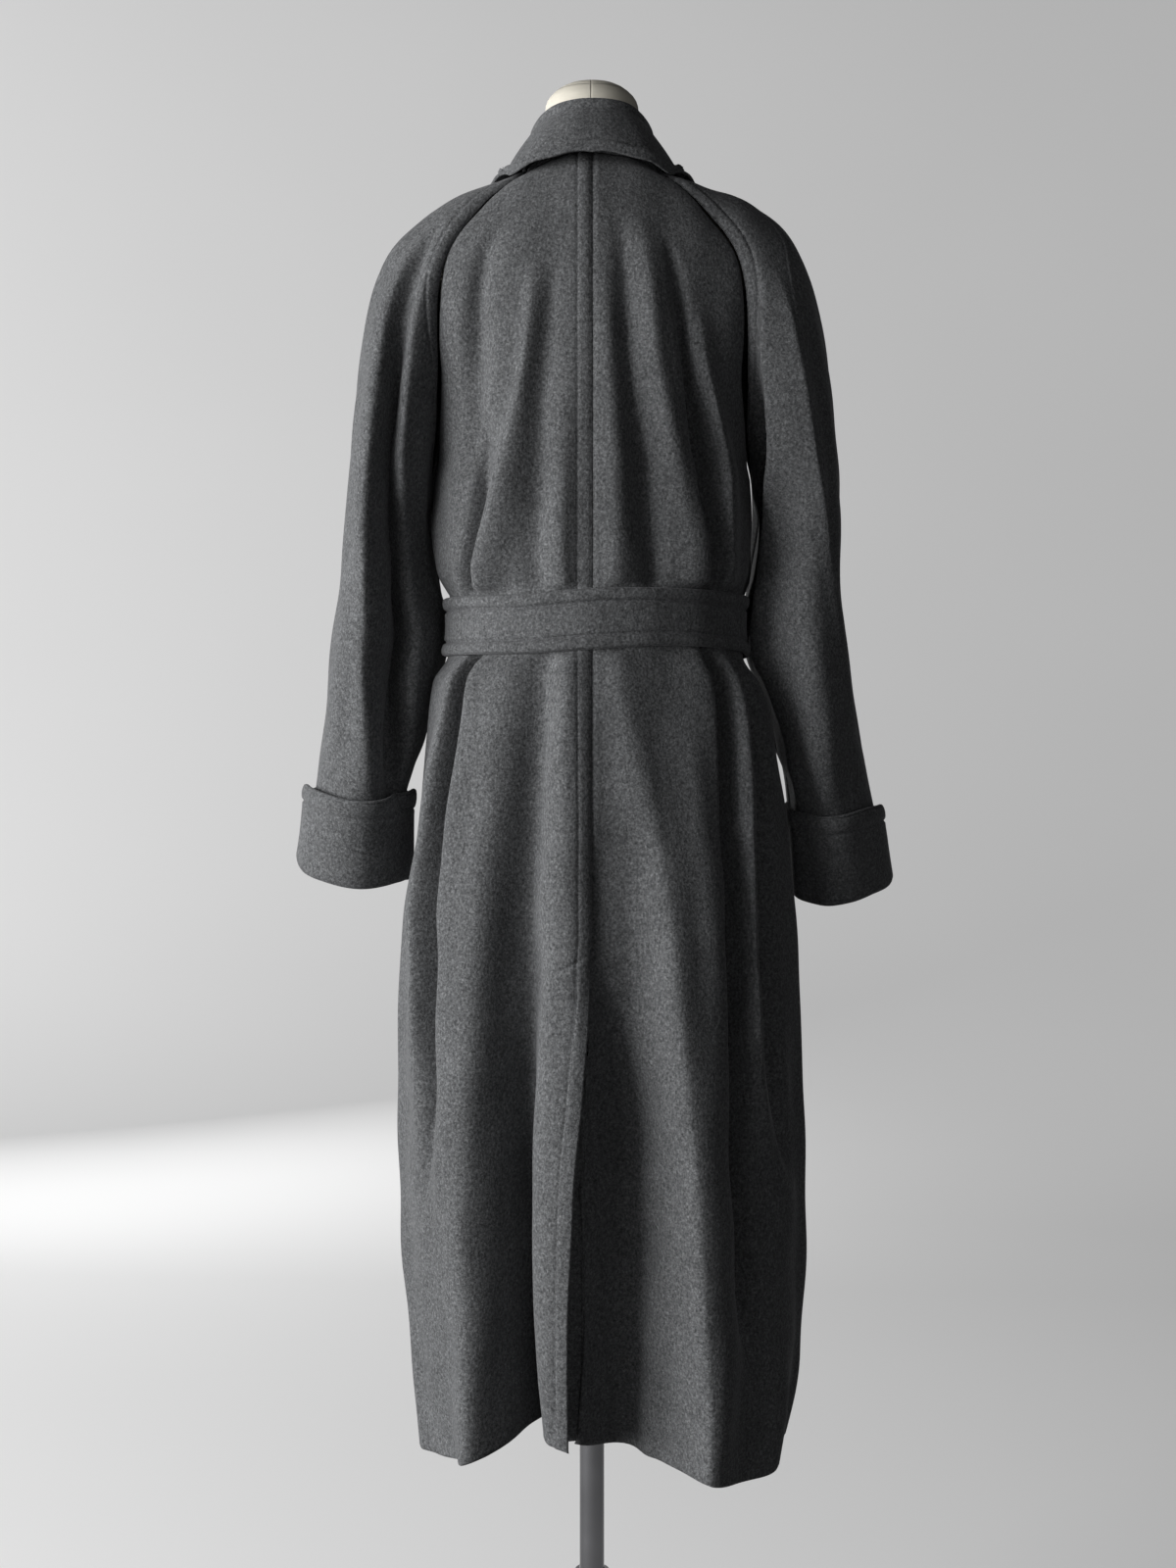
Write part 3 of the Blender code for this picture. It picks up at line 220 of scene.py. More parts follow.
# The folds of the body by height. Above the belt, from the centre back to the left, then to the right.
BODY_FOLDS = [
    Fold([(1.42, 11, 0), (1.34, 10, 1), (1.25, 10, 5), (1.16, 10.5, 7)], 4, 6),
    Fold([(1.46, 18, 0), (1.41, 19, -4), (1.34, 20.5, -8), (1.25, 18.5, -6), (1.18, 20.5, -5),
          (1.15, 21.5, -3)], 4, 5),
    Fold([(1.46, 27, 0), (1.41, 27, 5), (1.34, 28, 8), (1.28, 29, 10), (1.24, 31, 11), (1.2, 36, 11),
          (1.175, 41, 11), (1.15, 48, 10)], 8, 4),
    Fold([(1.32, 31, 0), (1.27, 33, 4), (1.22, 36.5, 6), (1.185, 42, 7), (1.15, 51, 6)], 5, 2.2, 4, 1.5),
    Fold([(1.5, 54, 0), (1.43, 57, -9), (1.36, 54, -12), (1.3, 49, -8), (1.25, 46, 0)], 7, 7),
    Fold([(1.33, 44, 0), (1.28, 42.5, -8), (1.24, 43.5, -14), (1.2, 48.5, -14), (1.175, 53, -12),
          (1.15, 60, -6)], 4, 3),
    Fold([(1.4, 54, 0), (1.33, 55, 3), (1.25, 56, 3), (1.16, 62, 4)], 5, 6),
    Fold([(1.46, -6, 0), (1.38, -7, 3), (1.28, -8, 4), (1.16, -9, 5)], 5, 5),
    Fold([(1.5, -15, 0), (1.43, -15, -7), (1.38, -15.5, -10), (1.3, -17, -12), (1.24, -19.5, -13),
          (1.18, -22.5, -11), (1.15, -24, -6)], 4.5, 5),
    Fold([(1.5, -27, 0), (1.4, -27, 6), (1.3, -29, 8), (1.24, -32, 7), (1.16, -38, 4)], 6, 4.5),
    Fold([(1.3, -34, 0), (1.26, -35.5, 4), (1.2, -39, 7), (1.15, -44, 7)], 2.5, 6, -5, 1.5),
    Fold([(1.48, -39, 0), (1.42, -41, -10), (1.37, -42.5, -18), (1.27, -43.5, -28), (1.2, -46, -28),
          (1.15, -50, -20)], 3.4, 3.4),
    Fold([(1.42, -52, 0), (1.35, -51.5, 8), (1.25, -51.5, 14), (1.2, -53.5, 13), (1.15, -57, 10)], 8, 3.6),
    # The skirt to the left of the vent
    Fold([(1.13, 9, 4), (1.06, 9, 8), (0.97, 8, 7), (0.9, 7, 6), (0.8, 4, 6), (0.68, 2, 3),
          (0.37, 2, 4)], 7, 6),
    Fold([(1.12, 17, -4), (1.06, 18, -12), (0.95, 20.5, -22), (0.87, 21, -28), (0.78, 21, -36),
          (0.7, 22, -44), (0.6, 23, -56), (0.52, 23.6, -66), (0.43, 23, -78), (0.37, 21, -88)], 5.2, 8.6),
    Fold([(1.13, 36, 3), (1.00, 36, 6), (0.85, 36, 10), (0.7, 37, 12), (0.5, 42, 12),
          (0.37, 42, 26)], 8, 8),
    Fold([(1.13, 50, 4), (1.06, 48, 8), (1.00, 48.5, 9), (0.94, 49, 10), (0.88, 48.5, 10), (0.83, 47, 10),
          (0.72, 46.5, 10), (0.62, 49, 6), (0.51, 56, 0)], 7, 4.5, 2),
    Fold([(1.13, 53, -12), (1.06, 54.5, -25), (1.00, 57.5, -31), (0.94, 60.5, -34), (0.88, 60, -32),
          (0.8, 58, -26), (0.7, 57, -12), (0.6, 61, 0)], 4.5, 2.8),
    Fold([(1.12, 59, 2), (1.06, 60, 6), (1.00, 63, 9), (0.94, 66.5, 10), (0.88, 67, 10), (0.8, 65, 9),
          (0.68, 64, 3), (0.58, 66, 0)], 3, 8),
    # The skirt to the right of it
    Fold([(1.13, -8, 4), (1.04, -10, 7), (0.97, -13, 4), (0.92, -15, 0)], 6, 6),
    Fold([(0.98, -7, 0), (0.9, -8, -8), (0.8, -9, -14), (0.7, -10, -22), (0.55, -12, -30), (0.44, -13, -38),
          (0.37, -12, -42)], 7, 9),
    Fold([(1.04, -16, 0), (0.97, -18, 7), (0.87, -21, 16), (0.78, -22.8, 22), (0.7, -24.3, 28),
          (0.62, -25.8, 32), (0.52, -27.4, 38), (0.44, -29, 43), (0.37, -30.5, 48)], 13, 5.2),
    Fold([(1.04, -30, 0), (0.96, -31, 4), (0.86, -32, 5), (0.78, -33, 2)], 4, 4),
    Fold([(0.5, -20, 0), (0.44, -21, -6), (0.37, -22, -10)], 3, 4),
    Fold([(1.13, -41, 4), (1.04, -38, 6), (0.92, -36, 6), (0.78, -35, 4), (0.66, -35, 2), (0.58, -36, 1),
          (0.5, -38, 0)], 3, 7, -4, 1.6),
    Fold([(1.13, -48, -24), (1.04, -44.5, -34), (0.92, -42.5, -40), (0.78, -41.5, -44), (0.66, -41.5, -40),
          (0.56, -42.5, -26), (0.48, -44, 0)], 2.8, 3.2),
    Fold([(1.12, -56, 6), (1.03, -51, 12), (0.92, -48.5, 14), (0.8, -48, 14), (0.72, -50, 12),
          (0.64, -55, 0)], 4, 4, 0, 1.8),
    Fold([(1.12, -66, -18), (1.00, -61, -28), (0.85, -58, -30), (0.72, -61, -22),
          (0.62, -68, 0)], 4.5, 3.6),
    Fold([(0.75, -60, 0), (0.62, -60, 6), (0.5, -58, 14), (0.37, -56, 30)], 13, 13),
    # The sides and fronts of the skirt
    Fold([(1.13, 104, -6), (0.9, 104, -14), (0.65, 104, -20), (0.37, 103, -26)], 8, 8),
    Fold([(1.13, 117, 4), (0.9, 120, 10), (0.65, 122, 14), (0.37, 125, 22)], 9, 9),
    Fold([(1.13, 134, -4), (0.95, 135, -10), (0.7, 138, -14), (0.37, 142, -16)], 6, 8),
    Fold([(1.1, 88, 0), (0.8, 90, 6), (0.37, 88, 12)], 7, 7),
    Fold([(1.13, -102, -6), (0.9, -103, -14), (0.65, -103, -18), (0.37, -101, -24)], 8, 8),
    Fold([(1.13, -116, 4), (0.9, -118, 10), (0.65, -120, 13), (0.37, -122, 20)], 9, 9),
    Fold([(1.13, -133, -4), (0.92, -136, -9), (0.7, -139, -12), (0.37, -144, -15)], 8, 6),
    Fold([(1.05, -84, 0), (0.8, -86, 6), (0.37, -84, 10)], 7, 7),
    # The fronts above the belt
    Fold([(1.34, 116, 0), (1.25, 121, -7), (1.15, 125, -10)], 6, 6),
    Fold([(1.33, 134, 0), (1.24, 137, 5), (1.15, 139, 7)], 6, 6),
    Fold([(1.3, 101, 0), (1.23, 104, 6), (1.15, 107, 7)], 6, 6),
    Fold([(1.34, -117, 0), (1.25, -121, -7), (1.15, -126, -10)], 6, 6),
    Fold([(1.32, -135, 0), (1.24, -138, 4), (1.15, -140, 7)], 6, 6),
    Fold([(1.3, -100, 0), (1.22, -103, 6), (1.15, -106, 7)], 6, 6),
]
# The folds of the sleeves by their rows: side 1 is the wearer's left.
SLEEVE_FOLDS = [
    Fold([(0.5, 120, 0), (0.75, 116, 4), (1.00, 110, 8), (1.3, 108, 10), (1.6, 106, 9), (1.8, 94, 6),
          (1.94, 78, 1)], 8, 16, 0, 1.8, side=1),
    Fold([(0.42, 108, 0), (0.58, 102, -10), (0.75, 98, -16), (0.9, 92, -24), (1.02, 84, -34),
          (1.2, 78, -42), (1.45, 77, -46), (1.65, 73, -42), (1.8, 58, -30), (1.92, 44, -14),
          (2.02, 36, 0)], 11, 15, -2, side=1),
    Fold([(0.9, 45, 0), (1.02, 36, 5), (1.2, 28, 9), (1.4, 26, 9), (1.62, 24, 0)], 10, 9, side=1),
    Fold([(1.5, 128, 0), (1.7, 132, 4), (1.92, 128, 0)], 14, 14, side=1),
    Fold([(0.4, 128, 0), (0.6, 130, -3), (0.8, 128, 0)], 10, 10, side=1),
    Fold([(0.5, 262, 0), (0.8, 264, -10), (1.1, 268, -14), (1.5, 276, -10),
          (1.8, 282, 0)], 12, 14, side=1),
    Fold([(0.9, 236, 0), (1.2, 238, 6), (1.6, 246, 4), (1.85, 250, 0)], 14, 14, side=1),
    Fold([(0.5, 92, 0), (0.65, 84, 3), (0.8, 70, 5), (0.92, 64, 7), (1.08, 52, 9), (1.25, 48, 10),
          (1.45, 45, 10), (1.6, 40, 8), (1.72, 28, 3)], 3.5, 12, -6, 1.6, side=-1),
    Fold([(0.5, 74, 0), (0.7, 58, -8), (0.9, 44, -14), (1.05, 32, -14), (1.25, 28, -14), (1.45, 26, -12),
          (1.6, 20, -6), (1.75, 14, 0)], 8, 7, side=-1),
    Fold([(1.52, 100, 0), (1.66, 92, 6), (1.8, 84, 8), (1.95, 80, 4)], 16, 20, side=-1),
    Fold([(0.62, 104, 0), (0.85, 104, 4), (1.05, 108, 5), (1.3, 122, 5), (1.6, 144, 3),
          (1.8, 152, 0)], 9, 6, 0, 1.6, side=-1),
    Fold([(0.7, 124, 0), (1.00, 128, -5), (1.3, 138, -5), (1.55, 152, 0)], 9, 9, side=-1),
    Fold([(1.6, 108, 0), (1.8, 104, 4), (2.00, 96, 2)], 16, 16, side=-1),
    Fold([(1.7, 66, 0), (1.84, 66, -4), (2.00, 64, -3)], 12, 12, side=-1),
    Fold([(0.5, 266, 0), (0.8, 268, -10), (1.1, 272, -14), (1.5, 279, -9),
          (1.8, 284, 0)], 13, 13, side=-1),
    Fold([(0.9, 238, 0), (1.25, 242, 6), (1.6, 248, 4), (1.85, 252, 0)], 14, 14, side=-1),
]
# How far forward and in a sleeve's inner edge lies, by its rows, beside a plain ring.
INNER = Table(
    "row forward in",
    (0.95, 0.000, 0.000),
    (1.15, 0.026, 0.002),
    (1.35, 0.044, 0.008),
    (1.55, 0.044, 0.010),
    (1.75, 0.020, 0.004),
    (1.90, 0.000, 0.000),
)
# The seam along the outside of each sleeve, as a turn of its ring.
OVERARM_SEAM = Table(
    "row left right",
    (0.00, 178, 178),
    (0.40, 165, 150),
    (0.80, 152, 116),
    (1.20, 160, 122),
    (1.60, 176, 152),
    (1.95, 180, 180),
    (2.30, 180, 180),
)
# How far past the centre a front's edge reaches, by height.
FRONT_EDGE = Table(
    "height reach",
    (0.350, 0.105),
    (0.900, 0.104),
    (1.132, 0.094),
    (1.270, 0.095),
)
# The vent's overlapping edge by height: how far it has swung to the left of the centre, in degrees.
VENT_EDGE = Table(
    "height turn",
    (0.372, 6.7),
    (0.480, 6.4),
    (0.560, 5.6),
    (0.640, 4.6),
    (0.720, 2.9),
    (0.790, 0.8),
    (0.850, 0.0),
)
# The hem by turns round the body: how far above or below its mean height it hangs.
HEM = Table(
    "turn lift",
    (-180, 0.004),
    (-110, -0.002),
    (-85, 0.006),
    (-68, -0.004),
    (-46, -0.010),
    (-32, -0.004),
    (-20, 0.006),
    (-8, 0.008),
    (0, 0.016),
    (9, 0.025),
    (24, 0.031),
    (37, 0.011),
    (50, 0.000),
    (85, -0.008),
    (110, -0.004),
    (180, 0.004),
)
# The belt by turns round the body: how far above or below its mean height it lies, and how its width varies.
BELT = Table(
    "turn lift wider",
    (-180, 0.000, 0.000),
    (-130, -0.001, 0.000),
    (-95, 0.000, 0.003),
    (-75, 0.002, -0.001),
    (-32, 0.003, -0.003),
    (0, 0.000, 0.000),
    (28, -0.004, -0.001),
    (60, -0.002, 0.000),
    (92, 0.000, 0.000),
    (130, 0.001, 0.000),
    (180, 0.000, 0.000),
)
# The collar from the centre back (0) to its front corner (1): the fold, the free edge and how far the
# fall bulges between them, or hollows when negative.
COLLAR = Table(
    "share fold_x fold_y fold_z edge_x edge_y edge_z bulge",
    (0.00, 0.000, 0.0600, 1.6085, 0.0000, 0.0920, 1.5510, 0.003),
    (0.07, 0.009, 0.0597, 1.6084, 0.0155, 0.0918, 1.5508, 0.003),
    (0.20, 0.025, 0.0540, 1.6075, 0.0440, 0.0860, 1.5475, 0.003),
    (0.40, 0.042, 0.0345, 1.6035, 0.0720, 0.0600, 1.5385, 0.002),
    (0.58, 0.0528, -0.0050, 1.5980, 0.0900, 0.0080, 1.5365, 0.001),
    (0.78, 0.0550, -0.0460, 1.5760, 0.1020, -0.0620, 1.5120, -0.001),
    (1.00, 0.048, -0.0780, 1.5300, 0.0880, -0.1060, 1.4840, 0.000),
)
# The lapels by the body's rows: how far each reaches outward from the fold line.
LAPEL = Table(
    "row width",
    (0.13, 0.003),
    (0.20, 0.016),
    (0.28, 0.032),
    (0.36, 0.056),
    (0.39, 0.070),
    (0.41, 0.090),
    (0.47, 0.090),
    (0.55, 0.084),
    (0.70, 0.074),
    (0.90, 0.042),
    (1.00, 0.014),
)


def ease(share):
    """A soft step from 0 to 1."""
    share = np.clip(share, 0, 1)
    return share * share * (3 - 2 * share)


def vector(x, y, z):
    """Coordinates of any shapes that fit together as one array of points."""
    return np.stack(np.broadcast_arrays(x, y, z), axis=-1).astype(float)


def unit(vectors):
    """The vectors at length 1."""
    return vectors / np.maximum(np.linalg.norm(vectors, axis=-1, keepdims=True), 1e-9)


def bell(distance, width):
    """A soft ridge's height at a distance from its line, from 1 down to 0."""
    return np.exp(-((distance / width) ** 2))


# The forms of sleeves and body

def sleeve_base(side, turn, row):
    """A point of a sleeve's plain ring and the direction out of the ring."""
    out, lower, slim, back = (
        RIGHT_SLEEVE(column, row) * (side < 0) for column in ("out", "lower", "slim", "back")
    )
    inset = SLEEVE("inset", row) + out - slim
    drop = SLEEVE("drop", row)
    length = np.hypot(inset, drop)
    reach = length / (1 + np.cos(np.radians(SLEEVE("opening", row))))
    angle = np.radians(turn)
    pitch = np.radians(SLEEVE("pitch", row))
    depth = np.where(np.sin(angle) > 0, SLEEVE("back", row), SLEEVE("front", row)) * np.sin(angle)
    inward = reach * (1 + np.cos(angle)) / length
    inner = ((1 + np.cos(angle)) / 2) ** 1.5
    point = vector(
        side * (SLEEVE("over_x", row) + out - inward * inset - INNER("in", row) * inner),
        SLEEVE("middle_y", row) + back + depth * np.cos(pitch) - INNER("forward", row) * inner,
        SLEEVE("over_z", row) - lower - inward * drop - depth * np.sin(pitch),
    )
    outward = vector(-side * np.cos(angle) * inset / length, np.sin(angle), -np.cos(angle) * drop / length)
    return point, unit(outward)


def sleeve_point(side, turn, row):
    """A point of a sleeve's outside, folds and all."""
    turn, row = np.broadcast_arrays(np.asarray(turn, float), np.asarray(row, float))
    point, outward = sleeve_base(side, turn, row)
    opening = SLEEVE("opening", row)
    calm = ease((turn - opening) / 28) * ease((360 - opening - turn) / 28)
    along = vector(side * np.sin(np.radians(turn)), np.cos(np.radians(turn)), 0 * turn)
    for fold in SLEEVE_FOLDS:
        if fold.side == side:
            rise, lean = fold.read(turn, row)
            point = point + (rise * calm)[..., None] * outward + (lean * calm)[..., None] * along
    push = push_out(side_of_body(side, point[..., 2]) + clearance(row) - side * point[..., 0])
    push = push * ease((row - 1.02) / 0.12) * bell(point[..., 1] + 0.010, 0.050)
    return point + SLEEVE_SHIFT * np.array([side, 1, 1]) + push[..., None] * np.array([side, 0, 0])


def clearance(row):
    """How far a sleeve's inner side keeps off the body, and the cuff more so."""
    return SLEEVE_CLEAR + CUFF_CLEAR * ease((row - 1.84) / 0.08)


def push_out(close):
    """How far cloth that comes too close is moved away: all of it, with a soft start."""
    return np.where(close > SOFT_START, close, np.maximum(close + SOFT_START, 0) ** 2 / (4 * SOFT_START))


def height_of(row):
    """Height above the floor of a row below the underarm."""
    return UNDERARM_Z - (row - 1) * (UNDERARM_Z - HEM_Z)


def row_at(height):
    """The row at a height below the underarm."""
    return 1 + (UNDERARM_Z - height) / (UNDERARM_Z - HEM_Z)


@functools.lru_cache(maxsize=None)
def body_sides(side):
    """Heights below the underarm, and how far the body's folds reach out to one side there."""
    heights = np.linspace(UNDERARM_Z, 0.86, SIDE_ROWS)
    points = body_point(side * np.linspace(76, 108, 33), row_at(heights)[:, None])
    return heights[::-1], (side * points[..., 0]).max(axis=1)[::-1]


def side_of_body(side, height):
    """How far the body reaches out to one side at a height, with room for the belt."""
    return np.interp(height, *body_sides(side)) + 0.0035 * bell(height - BELT_Z, 0.034)


def body_base(turn, row, behind=None):
    """A point of the body's plain rings, and the height that its folds go by."""
    turn, row = np.broadcast_arrays(np.asarray(turn, float), np.asarray(row, float))
    turn = (turn + 180) % 360 - 180
    side = np.where(turn < 0, -1, 1)
    away = np.abs(turn)
    behind = away <= 90 if behind is None else behind
    upper = np.clip(row, 0, 1)
    height = height_of(np.maximum(row, 1))
    opening = SLEEVE("opening", upper)
    edge = np.where(behind, opening, 360 - opening)
    left_end, right_end = (sleeve_base(s, edge, upper)[0] for s in (1, -1))
    half = np.where(side > 0, BODY("left", height), BODY("right", height))
    body_end = vector(side * half, BODY("side_y", height), height)
    yoke_end = np.where((side > 0)[..., None], left_end, right_end)
    end = np.where((row < 1)[..., None], yoke_end, body_end)
    yoke_y = np.where(behind, YOKE("back_y", upper), YOKE("front_y", upper))
    yoke_z = np.where(behind, YOKE("back_z", upper), YOKE("front_z", upper))
    centre_y = np.where(row < 1, yoke_y, np.where(behind, BODY("back", height), BODY("front", height)))
    centre_z = np.where(row < 1, yoke_z, height)
    span = np.radians(np.where(row < 1, YOKE("span", upper), 90.0))
    share = np.where(behind, away / 90, (180 - away) / 90)
    x = end[..., 0] * np.sin(span * share) / np.sin(span)
    bow = (np.cos(span * share) - np.cos(span)) / (1 - np.cos(span))
    y = end[..., 1] + (centre_y - end[..., 1]) * bow
    z = centre_z + (end[..., 2] - centre_z) * share**2
    return vector(x, y, z), centre_z


def belt_middle(turn):
    """The height of the belt's middle line."""
    return BELT_Z + BELT("lift", (np.asarray(turn, float) + 180) % 360 - 180)


def cinch(turn, height, kept):
    """How much of a fold shows. Under the belt only a share of it is kept."""
    past = np.abs(height - belt_middle(turn)) - BELT_WIDTH / 2
    return kept + (1 - kept) * ease((past + 0.002) / 0.009)


def body_point(turn, row):
    """A point of the coat's body, folds and hem and all."""
    turn, row = np.broadcast_arrays(np.asarray(turn, float), np.asarray(row, float))
    flat = (turn + 180) % 360 - 180
    behind = np.abs(flat) <= 90
    point, height = body_base(turn, row, behind)
    ahead, _ = body_base(turn + 0.5, row, behind)
    before, _ = body_base(turn - 0.5, row, behind)
    along = unit((ahead - before) * np.array([1, 1, 0]))
    outward = vector(-along[..., 1], along[..., 0], 0 * height)
    calm = np.where(row < 1, ease(np.abs(90 - np.abs(flat)) / 16), 1.0)
    ridge, hollow = calm * cinch(flat, height, 0.04), calm * cinch(flat, height, 0.5)
    rise, lean = np.zeros(turn.shape), np.zeros(turn.shape)
    above = ease((height - BELT_Z) / 0.01 + 0.5)
    for fold in BODY_FOLDS:
        own_rise, own_lean = fold.read(flat, height)
        if fold.stations[-1] < 1.14:
            own_rise, own_lean = own_rise * (1 - above), own_lean * (1 - above)
        elif fold.stations[0] > 1.14:
            own_rise, own_lean = own_rise * above, own_lean * above
        rise = rise + own_rise * np.where(own_rise < 0, hollow, ridge)
        lean = lean + own_lean * ridge
    lift = HEM("lift", flat) * ease((row - 1.3) / 0.7)
    return point + rise[..., None] * outward + lean[..., None] * along + vector(0, 0, lift)


def body_turn(row, x, side):
    """The turn where a front reaches an x, counted on from that front's side seam past the centre."""
    row = np.asarray(row, float)
    height = height_of(np.maximum(row, 1))
    upper = np.clip(row, 0, 1)
    edge = 360 - SLEEVE("opening", upper)
    own = np.sign(x) * side >= 0
    ends = {s: np.abs(sleeve_base(s, edge, upper)[0][..., 0]) for s in (1, -1)}
    halves = {1: BODY("left", height), -1: BODY("right", height)}
    wide = {s: np.where(row < 1, ends[s], halves[s]) for s in (1, -1)}
    half = np.where(own, wide[side], wide[-side])
    span = np.radians(np.where(row < 1, YOKE("span", upper), 90.0))
    share = np.arcsin(np.clip(np.abs(x) * np.sin(span) / half, 0, 0.999)) / span
    return np.where(own, 180 - 90 * share, 180 + 90 * share)


# Cloth as a grid of points, and a closed shell on it

class Cloth:
    """Points over the outside of a piece of cloth in rows and columns, the directions out of it, and how far
    each point is from the first and last column, the top and the foot."""

    def __init__(self, points, flip):
        self.points = points
        self.flip = flip
        self.across = unit(np.gradient(points, axis=1))
        self.down = unit(np.gradient(points, axis=0))
        self.out = unit(np.cross(self.across, self.down)) * flip
        across = np.cumsum(np.linalg.norm(np.diff(points, axis=1), axis=-1), axis=1)
        down = np.cumsum(np.linalg.norm(np.diff(points, axis=0), axis=-1), axis=0)
        self.first = np.pad(across, ((0, 0), (1, 0)))
        self.last = self.first[:, -1:] - self.first
        self.top = np.pad(down, ((1, 0), (0, 0)))
        self.foot = self.top[-1:] - self.top

    def raised(self, height):
        """The cloth with each point moved out by a height."""
        return Cloth(self.points + self.out * np.asarray(height)[..., None], self.flip)

    def line(self, edge, distance):
        """The points at a distance from an edge, and the directions out of the cloth there."""
        reach = getattr(self, edge)
        grids = (reach, self.points, self.out)
        if edge in ("top", "foot"):
            grids = tuple(np.swapaxes(grid, 0, 1) for grid in grids)
        found = []
        for reach, points, out in zip(*grids):
            order = np.argsort(reach)
            found.append([
                [np.interp(distance, reach[order], grid[order, axis]) for axis in range(3)]
                for grid in (points, out)
            ])
        found = np.array(found)
        return found[:, 0], unit(found[:, 1])


RIPPLES = np.random.default_rng(11).normal(size=(7, 4)) * np.array([1, 1, 0.6, 9])


def rumple(points, height=0.0005):
    """The faint unevenness of cloth that has been worn: long ripples that cross."""
    waves = [np.sin(points @ ripple[:3] * 62 + ripple[3]) for ripple in RIPPLES]
    return height * sum(waves)


def seam(distance, depth=0.0016):
    """The dip along a sewn edge."""
    return -depth * bell(distance, 0.0022)


def welt(distance, width):
    """The raised strip between an edge and its line of topstitching, and the dip of the stitching."""
    sizes = bpy.context.scene.coat_sizes
    strip = ease((width - distance) / 0.002 + 0.5)
    return sizes.welt_height * strip - sizes.groove * bell(distance - width, 0.0013)


def rim_of(index):
    """The indices round a grid, from its first corner along the top."""
    return np.concatenate([index[0, :-1], index[:-1, -1], index[-1, :0:-1], index[:0:-1, 0]])


def new_piece(name, points, faces, material, uv=None):
    """A mesh object from points and faces, shaded smooth."""
    mesh = bpy.data.meshes.new(name)
    mesh.from_pydata(points.tolist(), [], faces)
    mesh.update()
    mesh.shade_smooth()
    mesh.materials.append(material)
    if uv is not None:
        corners = np.empty(len(mesh.loops), np.int32)
        mesh.loops.foreach_get("vertex_index", corners)
        layer = mesh.uv_layers.new(name="cloth")
        layer.uv.foreach_set("vector", np.asarray(uv, np.float32)[corners].ravel())
    piece = bpy.data.objects.new(name, mesh)
    bpy.context.scene.collection.objects.link(piece)
    return piece


def cloth_piece(name, cloth, material, free=(), wall=None):
    """A closed shell on a grid of cloth: its face, a back with half as many points each way, and rounded
    edges between them, which stand out most where the cloth ends free."""
    wall = wall or bpy.context.scene.coat_sizes.wall
    shape = cloth.points.shape[:2]
    size = shape[0] * shape[1]
    back = (cloth.points - cloth.out * wall)[::2, ::2]
    reach = {edge: wall * (0.45 if edge in free else 0.10) for edge in ("first", "last", "top", "foot")}
    past = np.zeros(cloth.points.shape)
    past[:, 0] -= cloth.across[:, 0] * reach["first"]
    past[:, -1] += cloth.across[:, -1] * reach["last"]
    past[0] -= cloth.down[0] * reach["top"]
    past[-1] += cloth.down[-1] * reach["foot"]
    index = np.arange(size).reshape(shape)
    ring = rim_of(index)
    middle = (cloth.points - cloth.out * wall / 2 + past).reshape(-1, 3)[ring]
    middle_ring = size + np.arange(len(ring))
    back_index = size + len(ring) + np.arange(back.shape[0] * back.shape[1]).reshape(back.shape[:2])
    back_ring = rim_of(back_index)
    faces = []
    for grid, order in ((index, 1), (back_index, -1)):
        quads = np.stack([grid[:-1, :-1], grid[:-1, 1:], grid[1:, 1:], grid[1:, :-1]], axis=-1)
        faces += quads.reshape(-1, 4)[:, ::order].tolist()
    after = np.roll(ring, -1), np.roll(middle_ring, -1)
    faces += np.stack([after[0], ring, middle_ring, after[1]], axis=1).tolist()
    step = middle_ring[::2], middle_ring[1::2], np.roll(middle_ring[::2], -1)
    faces += np.stack([step[2], step[1], step[0], back_ring, np.roll(back_ring, -1)], axis=1).tolist()
    if cloth.flip < 0:
        faces = [face[::-1] for face in faces]
    uv = np.stack([cloth.first, cloth.top], axis=-1)
    uv = np.concatenate([uv.reshape(-1, 2), uv.reshape(-1, 2)[ring], uv[::2, ::2].reshape(-1, 2)])
    points = np.concatenate([cloth.points.reshape(-1, 3), middle, back.reshape(-1, 3)])
    return new_piece(name, points, faces, material, uv)


def ring_piece(name, sections, material, outward=1):
    """A closed ring from sections that each go round the same number of corners."""
    count, corners = sections.shape[:2]
    index = np.arange(count * corners).reshape(count, corners)
    onward, beside = np.roll(index, -1, axis=0), np.roll(index, -1, axis=1)
    faces = np.stack([index, beside, np.roll(onward, -1, axis=1), onward], axis=-1).reshape(-1, 4)
    lengths = np.cumsum(np.linalg.norm(np.diff(sections, axis=0, append=sections[:1]), axis=-1), axis=0)
    around = np.cumsum(np.linalg.norm(np.diff(sections, axis=1, append=sections[:, :1]), axis=-1), axis=1)
    uv = np.stack([lengths, around], axis=-1).reshape(-1, 2)
    return new_piece(name, sections.reshape(-1, 3), faces[:, ::outward].tolist(), material, uv)


def run_along(line):
    """How far along a line each of its points is."""
    return np.concatenate([[0], np.cumsum(np.linalg.norm(np.diff(line, axis=0), axis=1))])


